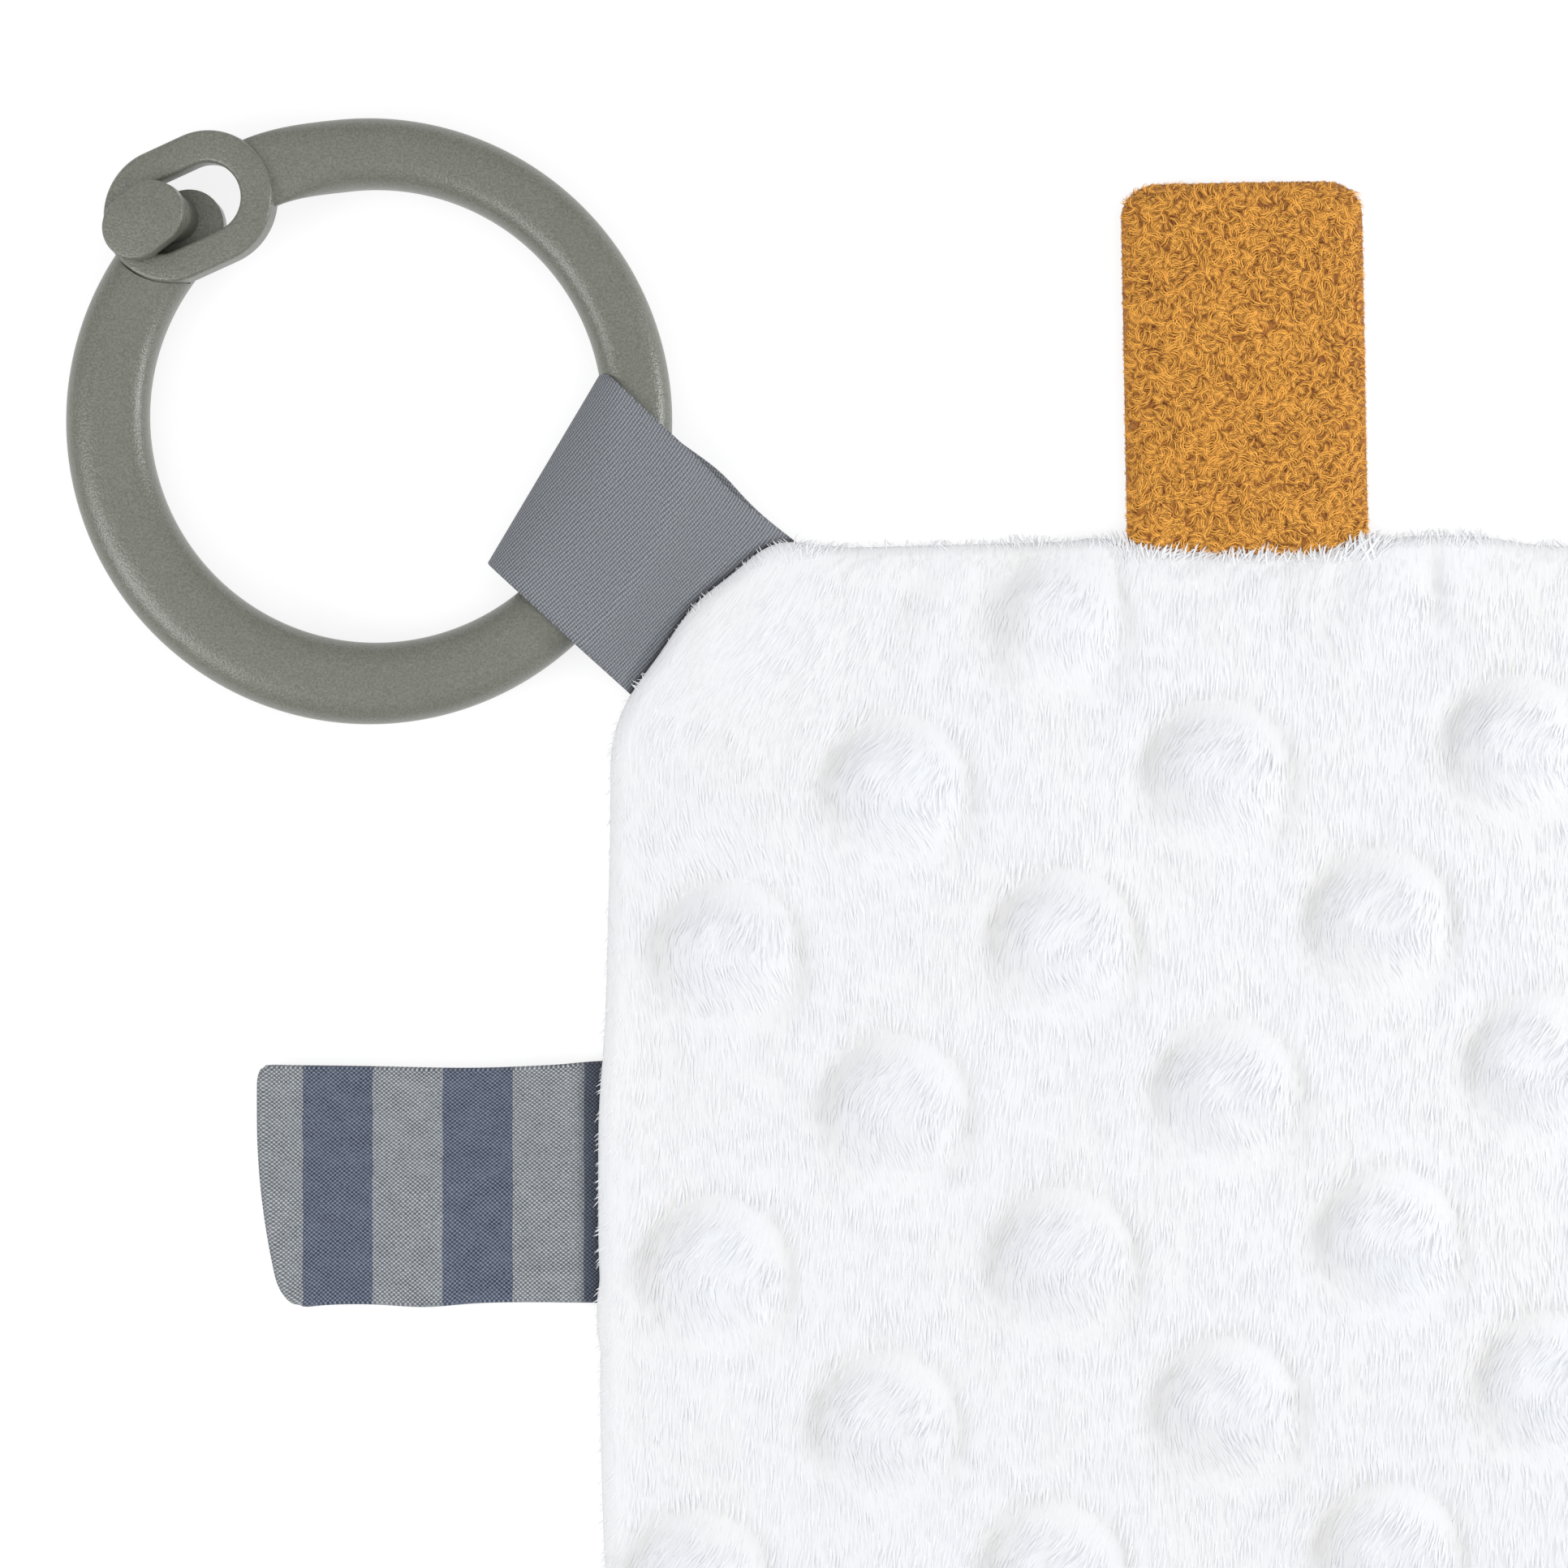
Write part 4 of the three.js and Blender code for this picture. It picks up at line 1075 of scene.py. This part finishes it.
for name, turn, shift, body in (("left", pi / 2, 0.95, "left_loop"), ("right", -pi / 2, 0.0, "right_loop")):
    loop_piece = striped_loop(f"striped_loop_{name}", turn, shift)
    loop_piece.data.materials.append(striped_weave)
    outside = spots(loop_piece) @ [-sin(turn), cos(turn), 0] - CLOTH_HALF
    tuck(loop_piece, outside, LOOP_TUCK)
    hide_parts(f"{name}_loop")
    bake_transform(loop_piece)

# %% [markdown]
# ## The link ring
#
# The ring is one moulding. Its bar is stout on one side and slim on the other, because its outer and inner
# circles don't share a centre. One arm ends round and carries a peg with a flat head, and the other rises
# and thins into a slotted eye that hooks over the head. Each part is a closed loft with rounded edges.

# %% Ring sizes
RING_CENTRE = np.array([-94.6257, 83.6141])
RING_INNER = 24.4
RING_OUTER = 32.6
BAR_OFFSET = 0.92
BAR_OFFSET_BEARING = radians(220)
BAR_HEIGHT = 7.0
BAR_SQUARENESS = 2.6
RING_MIDDLE = 4.4
EYE_BEARING = radians(131.9)
EYE_RADIUS = 29.7
EYE_LENGTH, EYE_WIDTH, EYE_THICKNESS = 19.0, 14.4, 3.0
EYE_EDGE = 0.45  # rounding of its edges
SLOT_HALF_LENGTH, SLOT_HALF_WIDTH, SLOT_SHIFT = 6.5, 3.75, -0.5
STEM_LENGTH, STEM_WIDTH = 5.6, 5.0
HEAD_LENGTH, HEAD_WIDTH, HEAD_HEIGHT = 9.4, 6.9, 2.2
HEAD_EDGE, HEAD_TURN, HEAD_SHIFT = 0.28, radians(13), (-1.8, 0.1)  # of the head on its stem
PEG_INSET = 1.8  # from the slot's inner end to the stem
RECESS_PLAY = 0.06
PEG_ARM_END, PEG_ARM_WIDTH = 135, 8.2  # bearing in degrees, mm
ARMS_MEET = 180  # bearing in degrees
ARM_SINK, ARM_HEIGHT_IN_EYE = 0.9, 2.0  # the eye's arm ends this far below the eye's top, and this high
BAR_POINTS, EYE_POINTS = 72, 128
EYE_TILT = radians(9)
EYE_TURN = radians(23)
CLEARANCE = 0.4
ARM_UNDER_EYE = 3.0
EYE_DROP = EYE_LENGTH / 2 * sin(EYE_TILT)
EYE_TOP = RING_MIDDLE - BAR_HEIGHT / 2 + ARM_UNDER_EYE + CLEARANCE + EYE_THICKNESS + EYE_DROP
ARM_END = 360 + math.degrees(EYE_BEARING - (EYE_LENGTH / 2 - 1.25) / EYE_RADIUS)
RAMP_START = ARM_END - math.degrees(10 / EYE_RADIUS)


def bearing(angle):
    return np.array([cos(angle), sin(angle)])


eye_frame = (
    Matrix.Translation((*(RING_CENTRE + EYE_RADIUS * bearing(EYE_BEARING)), EYE_TOP))
    @ Matrix.Rotation(-EYE_TILT, 4, "Y") @ Matrix.Rotation(EYE_TURN, 4, "Z")
)


def once_round(count):
    """The cosines and sines of evenly spaced bearings."""
    spin = (np.arange(count) + 0.5) / count * 2 * pi
    return np.cos(spin), np.sin(spin)


def slot_shape(count, half_length, half_width):
    """An outline with straight flanks and half round ends."""
    cosines, sines = once_round(count)
    middle = np.sign(cosines) * (half_length - half_width)
    return np.column_stack([middle + half_width * cosines, half_width * sines])


# %% The bar's two arms
def bar_row(degrees, narrowing=1.0):
    """The bar's section at a bearing from the ring's middle. Towards the eye it rises and thins."""
    heading = bearing(radians(degrees))
    along = float(BAR_OFFSET * bearing(BAR_OFFSET_BEARING) @ heading)
    outer = along + sqrt(RING_OUTER ** 2 - BAR_OFFSET ** 2 + along ** 2)
    share = float(smoothstep(RAMP_START, ARM_END, degrees))
    arm_top = EYE_TOP + EYE_DROP - ARM_SINK
    bottom = (RING_MIDDLE - BAR_HEIGHT / 2) * (1 - share) + (arm_top - ARM_HEIGHT_IN_EYE) * share
    top = (RING_MIDDLE + BAR_HEIGHT / 2) * (1 - share) + arm_top * share
    cosines, sines = once_round(BAR_POINTS)
    radius = (outer + RING_INNER) / 2 + squared(cosines, BAR_SQUARENESS, (outer - RING_INNER) / 2 * narrowing)
    levels = (top + bottom) / 2 + squared(sines, BAR_SQUARENESS, (top - bottom) / 2)
    return points_at(*np.outer(heading, radius) + RING_CENTRE[:, None], levels)


def round_end(degrees, width):
    """Rows that narrow to the bar's round end."""
    turn = math.degrees(width / 2 / ((RING_INNER + RING_OUTER) / 2))
    return [bar_row(degrees - turn * s, sqrt(1 - s * s)) for s in np.cos(np.linspace(0.12, pi / 2, 12)[:-1])]


peg_rows = round_end(PEG_ARM_END, PEG_ARM_WIDTH) + [bar_row(at) for at in np.linspace(PEG_ARM_END, ARMS_MEET, 31)]
peg_arm = outward(piece("peg_arm", *closed_loft(peg_rows)))
eye_arm = outward(piece("eye_arm", *closed_loft([bar_row(at) for at in np.linspace(ARMS_MEET, ARM_END, 201)])))
print("arms:", len(peg_arm.data.polygons), "and", len(eye_arm.data.polygons), "faces")


def place_in_eye(made):
    """Carries a shape that was made in the eye's own plane to the clasp. Its frame is in millimetres."""
    for carry in (Matrix.Scale(1 / MILLIMETRE, 4), eye_frame, Matrix.Scale(MILLIMETRE, 4)):
        made.data.transform(carry)
    return outward(made)


def wall(low, high, rounding):
    """Inset and level of each row up a wall whose two edges are rounded."""
    curve = [(sin(a), cos(a)) for a in quarter(6)]
    levels = [(rounding * (1 - sine), low + rounding * (1 - cosine)) for sine, cosine in curve]
    return levels + [(rounding * (1 - cosine), high - rounding * (1 - sine)) for sine, cosine in curve]


def slab(name, length, width, low, high, rounding, turn=0.0, shift=(0.0, 0.0)):
    """A plate in the eye's plane with half round ends and rounded edges."""
    rows = []
    for inset, level in wall(low, high, rounding):
        outline = slot_shape(96, length / 2 - inset, width / 2 - inset)
        rows.append(turned(points_at(*outline.T, level), turn) + [*shift, 0])
    return place_in_eye(piece(name, *closed_loft(rows)))


# %% The clasp
play_length, play_width = EYE_LENGTH + RECESS_PLAY, EYE_WIDTH + RECESS_PLAY
recess = slab("recess", play_length, play_width, -EYE_THICKNESS - CLEARANCE, BAR_HEIGHT, 0.0)
cutter = peg_arm.modifiers.new("recess", "BOOLEAN")
cutter.operation = "DIFFERENCE"
cutter.solver = "EXACT"
cutter.object = recess
cut_arm = shaped_mesh(peg_arm)
peg_arm.modifiers.clear()
peg_arm.data = cut_arm
bpy.data.objects.remove(recess)


def eye_row(share, inset, level):
    """A row of the band between the eye's outline, share 0, and its slot, share 1."""
    drawn_in, let_out = (inset if share < 0.9 else 0), (inset if share > 0.1 else 0)
    outer_line = slot_shape(EYE_POINTS, EYE_LENGTH / 2 - drawn_in, EYE_WIDTH / 2 - drawn_in)
    slot_line = slot_shape(EYE_POINTS, SLOT_HALF_LENGTH + let_out, SLOT_HALF_WIDTH + let_out) + [SLOT_SHIFT, 0]
    return points_at(*(outer_line * (1 - share) + slot_line * share).T, level)


edge = wall(-EYE_THICKNESS, 0.0, EYE_EDGE)
rows = [eye_row(0.0, *mark) for mark in edge] + [eye_row(0.5, 0.0, 0.0)]
rows += [eye_row(1.0, *mark) for mark in reversed(edge)] + [eye_row(0.5, 0.0, -EYE_THICKNESS)]
rows.append(rows[0])
eye = place_in_eye(piece("eye", np.vstack(rows), grid_faces(len(rows), EYE_POINTS, ring=True)))

peg_at = SLOT_SHIFT - SLOT_HALF_LENGTH + PEG_INSET + STEM_WIDTH / 2
foot = -(EYE_THICKNESS + CLEARANCE + ARM_UNDER_EYE / 2 + EYE_DROP)
stem = slab("stem", STEM_LENGTH, STEM_WIDTH, foot, CLEARANCE + 1.0, 0.05, shift=(peg_at, 0))
head = slab(
    "head", HEAD_LENGTH, HEAD_WIDTH, CLEARANCE, CLEARANCE + HEAD_HEIGHT, HEAD_EDGE, HEAD_TURN,
    (peg_at + HEAD_SHIFT[0], HEAD_SHIFT[1]),
)

# %% Join the moulding
RING_CREASE = radians(32)  # edges that turn by more stay sharp
ring = put("link_ring_moulding", bpy.data.meshes.new("link_ring_moulding"))
shape = bmesh.new()
for part in (peg_arm, eye_arm, eye, stem, head):
    shape.from_mesh(part.data)
    bpy.data.objects.remove(part)
joint_middle = Vector(bar_row(ARMS_MEET).mean(axis=0) * MILLIMETRE)
hubs = [vertex for vertex in shape.verts if (vertex.co - joint_middle).length < 1e-6]
bmesh.ops.delete(shape, geom=hubs, context="VERTS")
bmesh.ops.remove_doubles(shape, verts=shape.verts, dist=1e-7)
shape.normal_update()
for edge in shape.edges:
    edge.smooth = len(edge.link_faces) == 2 and edge.calc_face_angle(0) < RING_CREASE
shape.to_mesh(ring.data)
shape.free()
print("ring:", len(ring.data.polygons), "faces")

# %% [markdown]
# ## The ring's finish
#
# The ring is moulded in a sage grey polypropylene. The mould was lightly blasted, so the surface is satin
# with a grain of about 0.2 mm: the two strips draw bands on it, but nothing mirrors. The colour is even,
# with a faint cloudiness, as pigment in plastic has. The index of refraction of polypropylene is 1.49. It
# is set higher here, because the strips are weaker than a studio's lamps.

# %% Ring finish
satin, tree, shader = finish("satin_polypropylene", Roughness=0.4, IOR=1.75)
place = object_place(tree)
blasting = grain(place, 0.00024, detail=3)
sage = blend_colours(grain(place, 0.006), "#696b5f", "#73756a")
speckled = blend_colours(ramp(blasting, 0.35, 0.65, "LINEAR"), "#585a4f", "#8a8c82")
paint(shader, blend_colours(0.4, sage, speckled))
tree.links.new(maths("MULTIPLY_ADD", blasting, 0.16, 0.23), shader.inputs["Roughness"])
raise_surface(shader, blasting, 0.00006)
ring.data.materials.append(satin)
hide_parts("link_ring")
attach(ring, "ring")

# %% [markdown]
# ## The corner ribbon
#
# The ribbon is a twill tape. It goes from the seam out under the bar, folds back over it and returns to
# the seam, and the fold lies a little askew, so the lower layer peeps out at one edge. Its rows follow
# the same tear drop as the solid does.

# %% The corner ribbon
OUTWARDS = np.array([-1, 1]) / sqrt(2)
ALONG = np.array([1, 1]) / sqrt(2)
ARC_CENTRE = np.array([-CORNER_CENTRE, CORNER_CENTRE])
CORNER_TIP = ARC_CENTRE + CLOTH_CORNER * OUTWARDS
FOLD_NEAR = CORNER_TIP + 18.7 * OUTWARDS - 10.4 * ALONG
FOLD_FAR = CORNER_TIP + 24.6 * OUTWARDS + 12.8 * ALONG
RIBBON_WIDTH, RIBBON_THICKNESS = 23.3, 0.45
RIBBON_TUCK = 0.9
SHOULDER = 2.2  # mm inside the bar's inner edge, where the round of the fold ends
FOLD_START, SEAM_HALF = 0.35, 0.28  # from the fold's line to its first mark, and half the layers' gap at the seam
RIBBON_GAP, RIBBON_HALF = 0.3, 0.3  # mm between bar and ribbon, and from the ribbon's face to its middle
SEAM_LEVEL = 1.0
SEWN_FROM, SEWN_TO, SEWN_DEPTH = -9.45, 13.65, 1.3  # the seam's ends along the corner, and its depth in it


def reach_circle(start, heading, radius):
    """How far it is along a heading from a place to a circle about the ring's middle."""
    offset = start - RING_CENTRE
    along = float(offset @ heading)
    return sqrt(along ** 2 + radius ** 2 - float(offset @ offset)) - along


def ribbon_column(share):
    """The ribbon's marks at one share of its width: way from the fold, height between the layers, half their gap."""
    fold = FOLD_NEAR * (1 - share) + FOLD_FAR * share
    seam = SEWN_FROM * (1 - share) + SEWN_TO * share
    radius = CLOTH_CORNER - SEWN_DEPTH
    angle = math.asin(seam / radius)
    root = ARC_CENTRE + radius * (cos(angle) * OUTWARDS + sin(angle) * ALONG)
    heading = root - fold
    length = float(np.linalg.norm(heading))
    heading = heading / length
    open_half = BAR_HEIGHT / 2 + RIBBON_GAP + RIBBON_HALF
    shoulder = reach_circle(fold, heading, RING_INNER + SHOULDER)
    past = reach_circle(fold, heading, RING_OUTER + 1.32 - 0.55 * SHOULDER)
    # The round of the fold, and then the way from the bar down to the seam, where the layers meet
    marks = []
    for angle in quarter(14):
        way = FOLD_START + (shoulder - FOLD_START) * (1 - cos(angle))
        marks.append((way, RING_MIDDLE, open_half * sin(angle)))
    for part in np.linspace(0, 1, 34):
        weight = (1 - part ** 1.6) ** 2.2
        middle = SEAM_LEVEL + (RING_MIDDLE - SEAM_LEVEL) * weight
        marks.append((past + (length - past) * part, middle, SEAM_HALF + (open_half - SEAM_HALF) * weight))
    steps = np.diff(np.array(marks)[:, [0, 2]], axis=0, prepend=[[marks[0][0], 0]])
    return fold, heading, length, marks, np.cumsum(np.hypot(*steps.T))


ribbon_shares = np.linspace(0, 1, 33)
ribbon_columns = [ribbon_column(share) for share in ribbon_shares]
marks_count = len(ribbon_columns[0][3])
rows, cut = [], []
for layer in (-1, 1):
    order = range(marks_count - 1, 0, -1) if layer < 0 else range(marks_count)
    for k in order:
        row, places = [], []
        for share, (fold, heading, length, marks, lengths) in zip(ribbon_shares, ribbon_columns):
            way, middle, half = marks[k]
            # The lower layer peeps out near the bar, and the seam pulls both layers askew
            skew = 0.9 * exp(-(((way - 17) / 5.5) ** 2)) * share if layer < 0 else 0.0
            skew += 1.1 * float(smoothstep(0.62, 1.0, way / length)) * share ** 2
            plan = fold + heading * way + skew * ALONG
            ruffle = 0.12 * sin(share * 9 + way / 4)
            row.append([*plan, middle + layer * half + ruffle * (half > 1)])
            places.append([share * RIBBON_WIDTH, layer * lengths[k]])
        rows.append(np.array(row))
        cut.append(np.array(places))
ribbon = strip("twill_ribbon", rows, cut, RIBBON_THICKNESS)
from_arc = spots(ribbon)[:, :2] - ARC_CENTRE
bearings = np.degrees(np.arctan2(-from_arc[:, 0], from_arc[:, 1]))
tuck(ribbon, np.hypot(*from_arc.T) - CLOTH_CORNER - waves(bearings, RIBBON_CORNER, 2), RIBBON_TUCK)

TWILL = 0.36  # mm between the twill's ribs, a little coarser than the tape's 0.3, so that they show


def crests(place, step):
    """Evenly spaced crests, 0 to 1."""
    return maths("MULTIPLY_ADD", waves_along(place, step), 0.5, 0.5)


twill, tree, shader = finish("polyester_twill_tape", Roughness=0.8, Sheen_Weight=0.1, Sheen_Roughness=0.45)
cut_place, across, along = place_on_cut(tree)
ribs = crests(maths("MULTIPLY_ADD", across, -0.26, along), TWILL)
filling = crests(maths("MULTIPLY_ADD", along, 0.3, across), 0.3)
over = times(ribs, maths("MULTIPLY_ADD", filling, 0.7, 0.3))
fuzz = grain(cut_place, (0.003, 0.0022, 0.003))
tone = maths("ADD", times(over, 0.7), times(fuzz, 0.5))
paint(shader, shaded_in_seam(blend_colours(tone, "#25292f", "#a9adb3"), 0.85))
raise_surface(shader, over, 0.000025)
ribbon.data.materials.append(twill)
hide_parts("corner_ribbon")
outside = Vector((*OUTWARDS, 0)) * MILLIMETRE
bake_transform(ribbon)
print("ribbon:", len(ribbon.data.polygons), "faces")
